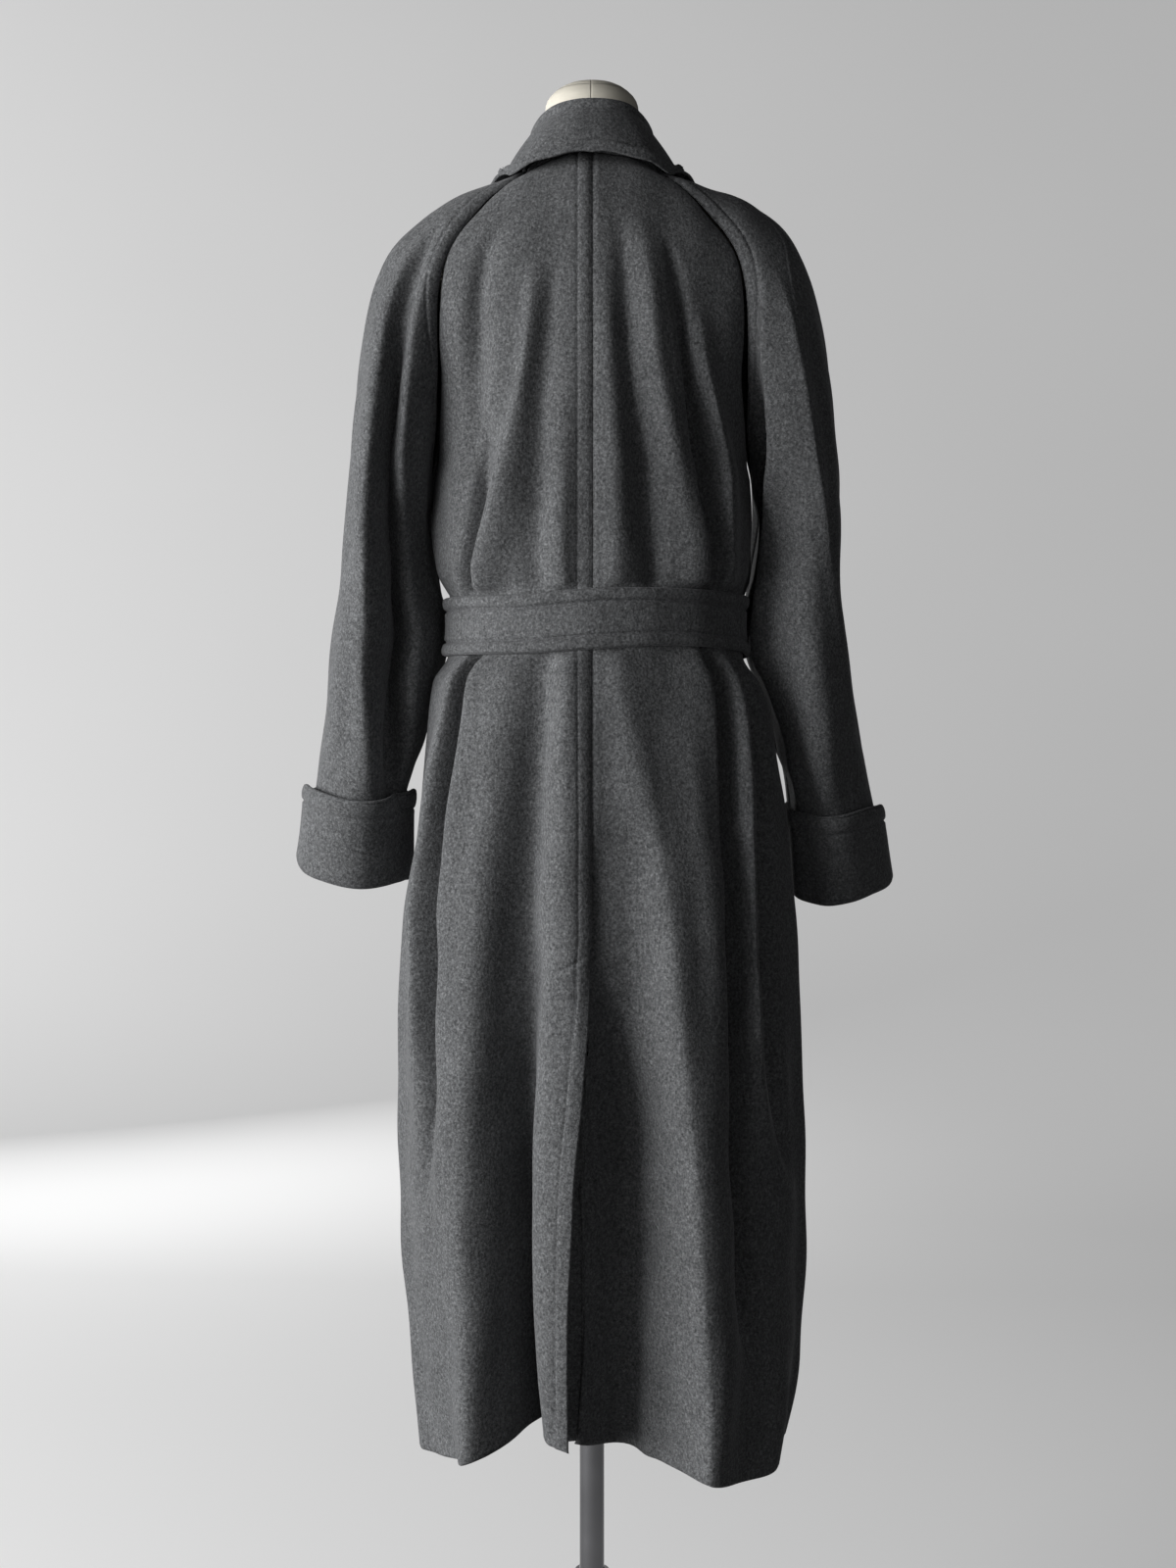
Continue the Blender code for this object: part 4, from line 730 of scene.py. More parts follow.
def stitch_piece(name, lines, material):
    """All the threads of some lines of topstitching as one mesh. Each is a lozenge of a dozen faces."""
    sizes = bpy.context.scene.coat_sizes
    corners, faces = [], []
    pattern = [(0, 1 + (i + 1) % 4, 1 + i) for i in range(4)]
    pattern += [(1 + i, 1 + (i + 1) % 4, 5 + (i + 1) % 4, 5 + i) for i in range(4)]
    pattern += [(5 + i, 5 + (i + 1) % 4, 9) for i in range(4)]
    count = 0
    for line, out in lines:
        run = run_along(line)
        starts = np.arange(sizes.stitch * 0.5, run[-1] - sizes.stitch, sizes.stitch)
        ends = starts + sizes.stitch * 0.72
        a, b, normal = (
            np.stack([np.interp(at, run, grid[:, axis]) for axis in range(3)], axis=1)
            for at, grid in ((starts, line), (ends, line), (starts, out))
        )
        half = sizes.thread / 2
        high = unit(normal) * half
        across = unit(np.cross(normal, unit(b - a))) * half
        thread = [a - high]
        for share in (0.22, 0.78):
            middle = a + (b - a) * share + high * 0.3
            thread += [middle + across, middle + high * 0.8, middle - across, middle - high]
        thread.append(b - high)
        corners.append(np.stack(thread, axis=1).reshape(-1, 3))
        for stitch in range(len(a)):
            faces += [tuple(count + stitch * 10 + corner for corner in face) for face in pattern]
        count += len(a) * 10
    return new_piece(name, np.concatenate(corners), faces, material)


# Stations of the grids: round an edge that is topstitched, in shares of the welt's width, and along a
# plain one
WELT_STATIONS = np.array([0, 0.06, 0.14, 0.28, 0.48, 0.70, 0.85, 0.93, 1.0, 1.07, 1.15, 1.32])
PLAIN_STATIONS = np.array([0, 0.0008, 0.0018, 0.0032, 0.0055])
UPPER_ROWS = np.linspace(0, 1, 66)[:-1]
BODY_HEIGHTS = np.concatenate([
    np.linspace(UNDERARM_Z, 1.186, 21),
    np.linspace(1.182, 1.154, 15),
    np.linspace(1.148, 1.116, 5),
    np.linspace(1.112, 1.074, 20),
    np.linspace(1.069, 0.842, 46),
    np.linspace(0.8405, 0.8000, 28),
    np.linspace(0.795, HEM_Z + 0.005, 84),
    [HEM_Z + 0.0030, HEM_Z + 0.0012, HEM_Z],
])
BODY_ROWS = np.concatenate([UPPER_ROWS, row_at(BODY_HEIGHTS)])[:, None]
SLEEVE_ROWS = np.linspace(0, 2.25, 181)[:, None]


def degrees_per_metre(point_of, turns, rows):
    """How many degrees of a ring a metre of its cloth takes."""
    wide = np.linalg.norm(point_of(turns + 0.5, rows) - point_of(turns - 0.5, rows), axis=-1)
    return 1 / np.maximum(wide, 1e-6)


def columns_between(point_of, rows, start, end, first, last, count):
    """Turns of a grid's columns: near both edges at given distances in metres, and evenly between them."""
    way = np.sign(end - start)
    first = first * degrees_per_metre(point_of, start + 0.6 * way, rows)
    last = last[:, ::-1] * degrees_per_metre(point_of, end - 0.6 * way, rows)
    tight = np.minimum(1, 0.8 * np.abs(end - start) / (first[:, -1:] + last[:, :1]))
    near = start + way * first * tight
    far = end - way * last * tight
    share = np.linspace(0, 1, count + 2)[1:-1]
    middle = near[:, -1:] + (far[:, :1] - near[:, -1:]) * share
    return np.concatenate([near, middle, far], axis=1)


def welt_columns(width):
    """The distances from a topstitched edge at which a grid has columns."""
    return width * WELT_STATIONS[None, :]


def half_gap(point_of, turns, rows):
    """Half of the space between two sewn pieces, in degrees."""
    return SEAM_GAP / 2 * degrees_per_metre(point_of, turns, rows)


def hem_roll(cloth):
    """The folded edge of a hem: it rounds in over the last two millimetres."""
    return -0.0009 * bell(cloth.foot, 0.0016)


def make_backs(wool, thread):
    """Both halves of the back, the left one lapping over the right one below the vent's top."""
    sizes = bpy.context.scene.coat_sizes
    rows = BODY_ROWS
    height = height_of(rows)
    vent = ease((VENT_TOP_Z - height) / 0.05)
    width = sizes.welt - 0.002 * vent
    plain = PLAIN_STATIONS[None, :] + 0 * rows
    side_seam = 90 - half_gap(body_point, 89 + 0 * rows, rows)
    start = half_gap(body_point, 0.6 + 0 * rows, rows) + VENT_EDGE("turn", height) * (height < 0.85)
    turns = columns_between(body_point, rows, start, side_seam, welt_columns(width), plain, 152)
    points = body_point(turns, rows)
    cloth = Cloth(points, 1).raised(rumple(points))
    proud = 0.0140 * ease((VENT_TOP_Z - height) / 0.20) * bell(cloth.first, 0.045)
    tack = tack_line(cloth)
    strip = 0.75 * welt(cloth.first, width) + seam(cloth.first) * (1 - vent) + seam(cloth.last) + proud
    strip = strip - 1.3 * sizes.groove * bell(tack, 0.0018) + hem_roll(cloth)
    left = cloth.raised(strip)
    back_left = cloth_piece("back_left_cloth", left, wool, ("first", "foot"))
    lines = [left.line("first", width[:, 0].mean())]
    start = -half_gap(body_point, 0.6 + 0 * rows, rows)
    under = (VENT_EDGE("turn", height) + 4.5) * vent
    turns = columns_between(body_point, rows, -side_seam, start + under, plain, plain, 159)
    deep = ease((VENT_TOP_Z + 0.13 - height) / 0.08) * ease((turns + 9) / 8)
    step = body_point(0 * rows, rows) - body_point(0 * rows - 1, rows)
    beyond = np.maximum(turns, 0)[..., None] * step * np.array([1, 0.3, 0])
    points = body_point(np.minimum(turns, 0), rows) + beyond
    under = 0.020 * ease((VENT_TOP_Z + 0.02 - height) / 0.22) * ease((turns + 20) / 14)
    cloth = Cloth(points, 1).raised(rumple(points) - LAYER * deep - under)
    right = cloth.raised(seam(cloth.last) * (1 - vent) + seam(cloth.first) + hem_roll(cloth))
    back_right = cloth_piece("back_right_cloth", right, wool, ("last", "foot"))
    stitches = stitch_piece("stitching_back", lines, thread)
    return back_left, back_right, stitches


def tack_line(cloth):
    """How far each point of the left back is from the slanting row of stitches that holds the vent's top."""
    high = Vector((0.008, VENT_TOP_Z + 0.001))
    low = Vector((0.050, VENT_TOP_Z - 0.022))
    along = (low - high).normalized()
    x, z = cloth.points[..., 0] - high.x, cloth.points[..., 2] - high.y
    run = x * along.x + z * along.y
    past = np.maximum(np.maximum(-run, run - (low - high).length), 0)
    return np.hypot(x * along.y - z * along.x, past)


def front_reach(row):
    """How far past the centre a front reaches: to its fold line above the underarm, below it to its edge."""
    below = FRONT_EDGE("reach", height_of(np.maximum(row, 1)))
    return np.where(row < 1, -YOKE("roll_x", np.clip(row, 0, 1)), below)


def lapped(side, turns):
    """How far in the left front lies where the right one laps over it."""
    return LAYER * ease((np.abs(turns) - 98) / 24) * (side > 0)


def make_fronts(wool, thread):
    """Both fronts, each from its side seam past the centre, the right one lapping over the left one."""
    sizes = bpy.context.scene.coat_sizes
    rows = BODY_ROWS
    made, lines = [], []
    for name, side in (("front_left", 1), ("front_right", -1)):
        start = side * (90 + half_gap(body_point, 91 + 0 * rows, rows))
        end = side * body_turn(rows, -side * front_reach(rows), side)
        stations = PLAIN_STATIONS[None, :] + 0 * rows, welt_columns(sizes.welt + 0 * rows)
        turns = columns_between(body_point, rows, start, end, *stations, 118)
        points = body_point(turns, rows)
        cloth = Cloth(points, side).raised(rumple(points) - lapped(side, turns))
        edge = ease((rows - 0.97) / 0.04)
        cloth = cloth.raised(seam(cloth.first) + welt(cloth.last, sizes.welt) * edge + hem_roll(cloth))
        made.append(cloth_piece(f"{name}_cloth", cloth, wool, ("last", "foot")))
        line, out = cloth.line("last", sizes.welt)
        lines.append((line[len(UPPER_ROWS):], out[len(UPPER_ROWS):]))
    return *made, stitch_piece("stitching_fronts", lines, thread)


def tree_of(places):
    """A search tree over some points."""
    tree = kdtree.KDTree(len(places))
    for i, place in enumerate(places):
        tree.insert(place, i)
    tree.balance()
    return tree


def distance_to(points, line):
    """How far each point is from the nearest of a line's points."""
    tree = tree_of(line)
    found = [tree.find(point)[2] for point in points.reshape(-1, 3).tolist()]
    return np.array(found).reshape(points.shape[:-1])


def make_lapels(wool):
    """The lapels: each turns over in a soft roll at the front's fold line."""
    sizes = bpy.context.scene.coat_sizes
    rows = np.linspace(0.13, 0.985, 151)[:, None]
    share = np.linspace(0, 1, 64)
    roll = np.radians(np.linspace(-50, 80, 11))
    radius = 0.0021
    space = 0.0008  # between a lapel and the front under it
    made = []
    for name, side in (("lapel_left", 1), ("lapel_right", -1)):
        fold_x = YOKE("roll_x", rows)
        if side > 0:
            fold_x = np.maximum(fold_x, -fold_x + 0.0065)
        edge_x = np.maximum(YOKE("roll_x", rows) + LAPEL("width", rows), fold_x + 0.004)
        flat = fold_x + radius * 0.4 + (edge_x - fold_x - radius * 0.4) * share
        x = np.concatenate([fold_x - radius * np.cos(roll) * 0.9, flat], axis=1)
        lift = np.concatenate([
            space + radius * (1 + np.sin(roll)) + 0 * rows,
            space + 2 * radius - 0.0022 * ease((flat - fold_x) / (edge_x - fold_x + 0.001) * 1.2) + 0 * rows,
        ], axis=1)
        turns = side * body_turn(rows, side * x, side)
        points = body_point(turns, rows)
        ahead = body_point(turns + 0.4, rows) - body_point(turns - 0.4, rows)
        below = body_point(turns, rows + 0.004) - body_point(turns, rows - 0.004)
        lift = lift + sizes.wall + rumple(points) - lapped(side, turns)
        raised = Cloth(points + unit(np.cross(ahead, below)) * lift[..., None], -side)
        line = resampled(raised.points[:, -1], 260)
        edge = distance_to(raised.points, line)
        cloth = raised.raised(welt(edge, sizes.welt) * ease((raised.first - 0.006) / 0.004))
        made.append(cloth_piece(f"{name}_cloth", cloth, wool, ("first", "last", "top", "foot")))
    return made


def resampled(line, count):
    """The same line through evenly spaced points."""
    run = run_along(line)
    at = np.linspace(0, run[-1], count)
    return np.stack([np.interp(at, run, line[:, axis]) for axis in range(3)], axis=1)


def make_sleeves(wool, thread):
    """Each sleeve's back and front halves, with a welt at the raglan seam and plain overarm and underarm
    seams."""
    sizes = bpy.context.scene.coat_sizes
    rows = SLEEVE_ROWS
    made, lines = [], []
    for side, word in ((1, "left"), (-1, "right")):
        def point_of(turn, row, side=side):
            return sleeve_point(side, turn, row)

        opening = SLEEVE("opening", rows)
        overarm = OVERARM_SEAM(word, rows)
        inner_gap = half_gap(point_of, opening + 1, rows) * ease((rows - 0.9) / 0.1)
        seam_gap = half_gap(point_of, overarm, rows)
        raglan = ease((1.0 - rows) / 0.04)
        plain = PLAIN_STATIONS[None, :] + 0 * rows
        edged = welt_columns(sizes.welt + 0 * rows)
        halves = {
            "back": (opening + inner_gap, overarm - seam_gap, edged, plain, 96),
            "front": (overarm + seam_gap, 360 - opening - inner_gap, plain, edged, 86),
        }
        for half, columns in halves.items():
            turns = columns_between(point_of, rows, *columns)
            points = point_of(turns, rows)
            cloth = Cloth(points, side).raised(rumple(points))
            body_edge = cloth.first if half == "back" else cloth.last
            over_edge = cloth.last if half == "back" else cloth.first
            shape = welt(body_edge, sizes.welt) * raglan + seam(body_edge) + seam(over_edge, 0.0012)
            if half == "back":
                shape = shape + 0.0005 * ease((0.009 - over_edge) / 0.003)
            cloth = cloth.raised(shape)
            made.append(cloth_piece(f"sleeve_{word}_{half}_cloth", cloth, wool, ("foot", "top")))
            line, out = cloth.line("first" if half == "back" else "last", sizes.welt)
            shown = rows[:, 0] < 0.97
            lines.append((line[shown], out[shown]))
    return *made, stitch_piece("stitching_sleeves", lines, thread)


CUFF_TOP_ROW = 1.95
ROWS_PER_METRE = 4.08  # along a sleeve's end


def make_cuffs(wool, thread):
    """The turned-back cuffs. Each is one ring whose section runs down the outside and a little way up
    inside."""
    sizes = bpy.context.scene.coat_sizes
    made, lines = [], []
    turns = np.linspace(0, 360, 221)[:-1]

    def half(down):
        return 0.0017 + 0.0006 * math.exp(-(((down - 0.004) / 0.006) ** 2))

    outside, inside, depth = 0.0058, -0.0043, 0.0715
    radius = (outside - inside) / 2
    around = np.radians(np.linspace(0, 180, 13))[1:-1]
    run = [(down, outside, 1, 0) for down in np.concatenate([
        [0.0005, 0.0015, 0.003, 0.005, 0.008],
        sizes.welt + 0.003 * np.linspace(-1, 1, 7),
        np.linspace(0.020, depth, 11),
    ])]
    run += [(depth + radius * math.sin(a), (outside + inside) / 2 + radius * math.cos(a), math.cos(a),
             math.sin(a)) for a in around]
    run += [(down, inside, -1, 0) for down in np.linspace(depth, 0.050, 5)]
    run = np.array(run)
    outer = [(down + half(down) * fall, out + half(down) * face) for down, out, face, fall in run]
    inner = [(down - half(down) * fall, out - half(down) * face) for down, out, face, fall in run[::-1]]
    tip = np.radians(np.linspace(90, -90, 7)[1:-1])
    end = [(0.050 - half(0.05) * math.cos(a), inside - half(0.05) * math.sin(a)) for a in tip]
    rim = [(0.0005 - half(0) * math.cos(a), outside - half(0) * math.sin(a)) for a in tip[::-1]]
    section = np.array(outer + end + inner + rim)
    for side, word in ((1, "left"), (-1, "right")):
        front = ease((0.35 - np.sin(np.radians(turns))) / 0.90)
        outer_off, outer_low = (0.0036, 0.007) if side > 0 else (0.0014, 0.012)
        stand_off = outer_off * bell(turns - 170, 32) + 0.0016 * bell(turns - 95, 40) - 0.0016 * front
        low_side = outer_low * bell(turns - 178, 36) + 0.004 * bell((turns + 180) % 360 - 180, 36)
        wave = 0.0016 * np.sin(np.radians(turns * 3 + 40 * side))
        wave = wave + 0.0010 * np.sin(np.radians(turns * 5 + 70))
        sections = []
        for down, out in section:
            row = CUFF_TOP_ROW + (down + 0.022 * front + low_side) * ROWS_PER_METRE
            points = sleeve_point(side, turns, row)
            ahead, before = sleeve_point(side, turns + 0.5, row), sleeve_point(side, turns - 0.5, row)
            fall = unit(sleeve_point(side, turns, row + 0.01) - sleeve_point(side, turns, row - 0.01))
            normal = unit(np.cross(ahead - before, fall)) * side
            share = ease(out / outside)
            loose = share * (stand_off * (1 - 0.5 * ease(down / 0.06)) + 0.6 * wave * ease(down / 0.03))
            dip = sizes.groove * 1.6 * bell(down - sizes.welt, 0.0014) * (out > outside)
            puff = 0.0012 * bell(down - sizes.welt * 0.5, 0.007)
            spread = out + loose - dip + puff * (out > outside)
            low = (1.2 * wave - 0.006 * bell(turns - 178, 40)) * share * ease(down / 0.07)
            sections.append(points + normal * spread[:, None] + fall * low[:, None])
        sections = np.stack(sections, axis=1)
        made.append(ring_piece(f"cuff_{word}_cloth", sections, wool, side))
        across = int(np.argmin(np.abs(section[:len(outer), 0] - sizes.welt)))
        line = np.concatenate([sections[:, across], sections[:1, across]])
        middle = sections.mean(axis=1)
        out = unit(sections[:, across] - middle)
        lines.append((line, np.concatenate([out, out[:1]])))
    return *made, stitch_piece("stitching_cuffs", lines, thread)


def neck_point(share):
    """The neckline from the centre back (0) round over the sleeve to the front's fold line (1)."""
    share = np.asarray(share, float)
    back = body_point(90 * np.clip(share / 0.40, 0, 1) - 0.01, 0.0)
    over = sleeve_point(1, 90 + 180 * np.clip((share - 0.40) / 0.38, 0, 1), 0.0)
    end = body_turn(0.0, YOKE("roll_x", 0.0), 1)
    front = body_point(90.01 + (end - 90.01) * np.clip((share - 0.78) / 0.22, 0, 1), 0.0)
    share = share[..., None]
    return np.where(share <= 0.40, back, np.where(share <= 0.78, over, front))


def coat_cloud():
    """Points over the outside of the upper coat and its lapels, and the directions out of it."""
    clouds = []
    rows = np.linspace(0, 0.6, 40)[:, None]
    for side in (1, -1):
        for start, end in ((0, 90), (90.02, 182)):
            cloth = Cloth(body_point(side * np.linspace(start, end - 0.02, 60), rows), side)
            beside = YOKE("roll_x", rows) + LAPEL("width", rows) - side * cloth.points[..., 0]
            over = ease((beside + 0.012) / 0.010) * ease((rows - 0.10) / 0.08) * (start > 80)
            clouds.append(cloth.raised(0.0085 * over))
        opening = SLEEVE("opening", rows)
        turns = opening + (360 - 2 * opening) * np.linspace(0, 1, 90)
        clouds.append(Cloth(sleeve_point(side, turns, rows), side))
    parts = ("points", "out")
    return [np.concatenate([getattr(cloud, part).reshape(-1, 3) for cloud in clouds]) for part in parts]


def softened(grid, rounds=2):
    """A grid of values averaged with its neighbours a few times."""
    for _ in range(rounds):
        for axis in (0, 1):
            width = [(0, 0)] * grid.ndim
            width[axis] = (1, 1)
            wide = np.pad(grid, width, mode="edge")
            low, high = (np.take(wide, np.arange(grid.shape[axis]) + step, axis=axis) for step in (0, 2))
            grid = (low + 2 * grid + high) / 4
    return grid


def lifted(points, clearance, ground, outward):
    """A grid of points moved off a surface, in soft dents and bumps, until each is clear of it."""
    tree = tree_of(ground)
    for turn in range(4):
        near = np.array([tree.find(point)[1] for point in points.reshape(-1, 3).tolist()])
        near = near.reshape(points.shape[:-1])
        height = np.einsum("ijk,ijk->ij", points - ground[near], outward[near])
        move = np.maximum(clearance - height, 0)[..., None] * outward[near]
        points = points + np.maximum(1.15 - 0.05 * turn, 1) * softened(move, 3 - turn)
    return points


def make_collar(wool, thread):
    """The collar: it stands up round the neck, rolls over and falls outward to a stitched edge."""
    sizes = bpy.context.scene.coat_sizes
    share = np.linspace(0, 1, 111)
    neck = neck_point(share) + np.array([0, 0, 1.5 * SEAM_GAP])
    fold = vector(*(COLLAR(f"fold_{axis}", share) for axis in "xyz"))
    edge = vector(*(COLLAR(f"edge_{axis}", share) for axis in "xyz"))
    out = unit((edge - neck) * np.array([1, 1, 0]))
    up = np.array([0, 0, 1.0])
    inner = fold - out * 0.0024 - up * 0.0080
    outer = fold + out * 0.0030 - up * 0.0085
    stand = [neck * (1 - rise) + inner * rise for rise in np.linspace(0, 1, 9)]
    middle = (inner + outer) / 2
    roll = [
        middle - (outer - inner) / 2 * math.cos(angle) + up * 0.0082 * math.sin(angle)
        for angle in np.linspace(0, math.pi, 12)[1:-1]
    ]
    bulge = COLLAR("bulge", share)[:, None] * (out + up * 0.7)
    downs = np.concatenate([np.linspace(0, 0.70, 24), np.linspace(0.71, 0.98, 17), [0.99, 0.996, 1.0]])
    wave = (0.0009 * np.sin(share * 17 + 0.6) + 0.0007 * np.sin(share * 31))[:, None] * up
    fall = [
        outer * (1 - down) + edge * down + bulge * math.sin(math.pi * down) + wave * ease(down)
        for down in downs
    ]
    half = np.stack(stand + roll + fall)
    under = np.concatenate([half[:, :0:-1] * np.array([-1, 1, 1]), half], axis=1)
    under[NECK_ROWS:] = lifted(under[NECK_ROWS:], 0.0020, *coat_cloud())
    cloth = Cloth(under, 1).raised(0.0029 + 0.6 * rumple(under))
    ends = np.minimum(cloth.first, cloth.last)
    reach = np.minimum(cloth.foot, ends)
    shape = 0.0012 * ease((sizes.collar_welt - reach) / 0.002 + 0.5)
    shape = shape + 0.0028 * bell(reach - sizes.collar_welt * 0.55, 0.0048)
    shape = (shape - 0.0030 * bell(reach - sizes.collar_welt, 0.0022)) * (cloth.top > 0.050)
    cloth = cloth.raised(shape)
    line, normal = cloth.line("foot", sizes.collar_welt)
    inside = slice(CORNER_COLUMNS, -CORNER_COLUMNS)
    piece = cloth_piece("collar_cloth", cloth, wool, ("first", "last", "foot"), 0.0027)
    return piece, stitch_piece("stitching_collar", [(line[inside], normal[inside])], thread)


def belt_section(height):
    """The heights across the belt's width, from the top to the foot, and how far its face stands out."""
    sizes = bpy.context.scene.coat_sizes
    half = BELT_WIDTH / 2
    share = half - sizes.belt_welt + 0.004 * np.linspace(-1, 1, 11)
    curve = half - 0.0022 * (1 - np.cos(np.radians(np.linspace(0, 90, 6))))
    edge = np.concatenate([curve[:-1], np.linspace(half - 0.0026, share[-1], 6)[:-1], share[::-1]])
    across = np.concatenate([edge, np.linspace(share[0], -share[0], 9)[1:-1], -edge[::-1]])
    past = half - np.abs(across)
    face = sizes.belt_thick * np.sqrt(np.clip(1 - (1 - np.clip(past / 0.0022, 0, 1)) ** 2, 0, 1)) ** 0.8
    puff = 0.0015 * bell(past - sizes.belt_welt * 0.45, 0.005) + height * bell(across, half * 0.7)
    return across, face + puff - sizes.groove * 2.2 * bell(past - sizes.belt_welt, 0.0017) * (face > 0)


def make_belt(wool, thread):
    """The belt drawn tight round the waist."""
    sizes = bpy.context.scene.coat_sizes
    turns = np.linspace(-180, 180, 481)[:-1]
    across, face = belt_section(0.0003)
    middle = belt_middle(turns)[:, None]
    wide = 1 + BELT("wider", turns)[:, None] / BELT_WIDTH
    heights = middle + across * wide
    calm = body_base(turns[:, None], row_at(heights))[0].transpose(1, 0, 2)
    grid = Cloth(calm, 1)
    ripple = 0.0011 * np.sin(np.radians(turns * 9 + 60)) * bell(np.abs(turns) - 62, 24)
    lift = 0.0016 + face[:, None] + ripple * (face[:, None] > 0) + rumple(calm, 0.00025)
    outer = (grid.points + grid.out * lift[..., None]).transpose(1, 0, 2)
    inner = (grid.points + grid.out * 0.0014).transpose(1, 0, 2)[:, -2:1:-4]
    belt = ring_piece("belt_cloth", np.concatenate([outer, inner], axis=1), wool)
    lines = []
    for way in (1, -1):
        row = int(np.argmin(np.abs(across * way - (BELT_WIDTH / 2 - sizes.belt_welt))))
        closed = np.concatenate([outer[:, row], outer[:1, row]])
        normal = grid.out[row]
        lines.append((closed, np.concatenate([normal, normal[:1]])))
    return belt, stitch_piece("stitching_belt", lines, thread)


def make_belt_ties(wool):
    """The knot at the front, gathered where the belt wraps round itself, and the two ends below it."""
    sizes = bpy.context.scene.coat_sizes
    angles = np.linspace(0, 2 * math.pi, 97)[:-1]
    face = BODY("front", BELT_Z + BELT_WIDTH / 2) - 0.0060
    creases = ((-0.013, 0.0022), (-0.004, 0.0030), (0.0065, 0.0026), (0.0145, 0.0016))
    rings = []
    for depth, size in zip(
        (0.0, 0.0008, 0.0024, 0.0050, 0.0080, 0.0108, 0.0128, 0.0142, 0.0150, 0.0155, 0.0157),
        (0.80, 0.88, 0.95, 0.99, 0.985, 0.945, 0.88, 0.78, 0.62, 0.40, 0.15),
    ):
        wide = 0.023 * size * np.sign(np.cos(angles)) * np.abs(np.cos(angles)) ** 0.62
        tall = 0.032 * size * np.sign(np.sin(angles)) * np.abs(np.sin(angles)) ** 0.62
        slant = wide + 0.20 * tall
        pinch = sum(drop * bell(slant - at, 0.0017) for at, drop in creases)
        waist = 1 - 0.10 * bell(tall, 0.014)
        rings.append(vector(wide * waist, face - depth + pinch * ease(depth / 0.010), BELT_Z + tall))
    rings = np.stack(rings)
    index = np.arange(rings[..., 0].size).reshape(rings.shape[:2])
    onward = np.roll(index, -1, axis=1)
    faces = np.stack([index[:-1], index[1:], onward[1:], onward[:-1]], axis=-1).reshape(-1, 4).tolist()
    faces += [index[0].tolist(), index[-1, ::-1].tolist()]
    uv = rings.reshape(-1, 3)[:, [0, 2]]
    knot = new_piece("belt_knot_cloth", rings.reshape(-1, 3), faces, wool, uv)
    made = [knot]
    down = np.linspace(0, 1, 111)[:, None]
    ends = (("belt_end_left", 1, 0.004, 0.300), ("belt_end_right", -1, 0.006, 0.325))
    for name, side, lean, length in ends:
        rows = row_at(BELT_Z - 0.036 - length * down)
        width = 0.020 + 0.026 * ease(down * 3)
        near = np.array([0, 0.7, 1.6, 3.0, 5.0, 7.5, 10.0, 11.2, 12.2, 13.2, 14.5]) / 46
        share = np.concatenate([near, np.linspace(near[-1], 1 - near[-1], 15)[1:-1], 1 - near[::-1]])
        x = side * (0.0020 + lean * down + width * share)
        cloth = Cloth(body_point(-body_turn(rows, x, -1), rows), 1 if side < 0 else -1)
        towards = np.sign(cloth.out[..., 1].mean())
        cloth = cloth if towards < 0 else Cloth(cloth.points, -cloth.flip)
        gather = 1 - ease(down * 3.2)
        lift = 0.0066 + 0.0044 * (1 - ease(down * 4)) + 0.0018 * gather * np.sin(share * 2 * math.pi * 3)
        swing = 0.0012 * np.sin(down * 9 + side) * ease(down * 3)
        cloth = cloth.raised(lift + swing + 0 * share)
        edge = np.minimum(np.minimum(cloth.first, cloth.last), cloth.foot)
        depth = sizes.groove * 0.8 * bell(edge - sizes.belt_welt, 0.0013) * ease(down * 3 - 0.5)
        cloth = cloth.raised(-depth)
        made.append(cloth_piece(f"{name}_cloth", cloth, wool, ("first", "last", "foot", "top"), 0.0036))
    return made


# Hard pieces, and the form

def deselect():
    """Leaves no object selected."""
    for thing in bpy.context.selected_objects:
        thing.select_set(False)


def select_only(piece):
    """Leaves one object selected and active."""
    deselect()
    piece.select_set(True)
    bpy.context.view_layer.objects.active = piece


def ringed_piece(name, rings, sides, closed=False):
    """A piece from rings stacked by extrusion. Each ring is (half width, half depth, middle y, height); the
    ends are filled, or joined to each other where the section is closed."""
    deselect()
    wide, deep, middle, height = rings[0]
    bpy.ops.mesh.primitive_circle_add(vertices=sides, radius=1.0, fill_type="NOTHING")
    piece = bpy.context.object
    piece.name = piece.data.name = name
    bpy.ops.object.mode_set(mode="EDIT")
    bpy.ops.mesh.select_all(action="SELECT")
    bpy.ops.transform.resize(value=(wide, deep, 1), center_override=(0, 0, 0))
    bpy.ops.transform.translate(value=(0, middle, height))
    for ring in rings[1:]:
        bpy.ops.mesh.extrude_edges_move()
        scale = (ring[0] / wide, ring[1] / deep, 1)
        bpy.ops.transform.resize(value=scale, center_override=(0, middle, height))
        bpy.ops.transform.translate(value=(0, ring[2] - middle, ring[3] - height))
        wide, deep, middle, height = ring
    bpy.ops.mesh.select_all(action="DESELECT")
    bpy.ops.mesh.select_non_manifold(extend=False)
    if closed:
        bpy.ops.mesh.bridge_edge_loops()
    else:
        bpy.ops.mesh.fill_holes(sides=0)
    bpy.ops.mesh.select_all(action="SELECT")
    bpy.ops.mesh.normals_make_consistent(inside=False)
    bpy.ops.object.mode_set(mode="OBJECT")
    bpy.ops.object.transform_apply(location=True, rotation=True, scale=True)
    return piece


def turned(name, profile, sides, closed=False):
    """A turned piece from its profile of (radius, height)."""
    return ringed_piece(name, [(radius, radius, 0, height) for radius, height in profile], sides, closed)


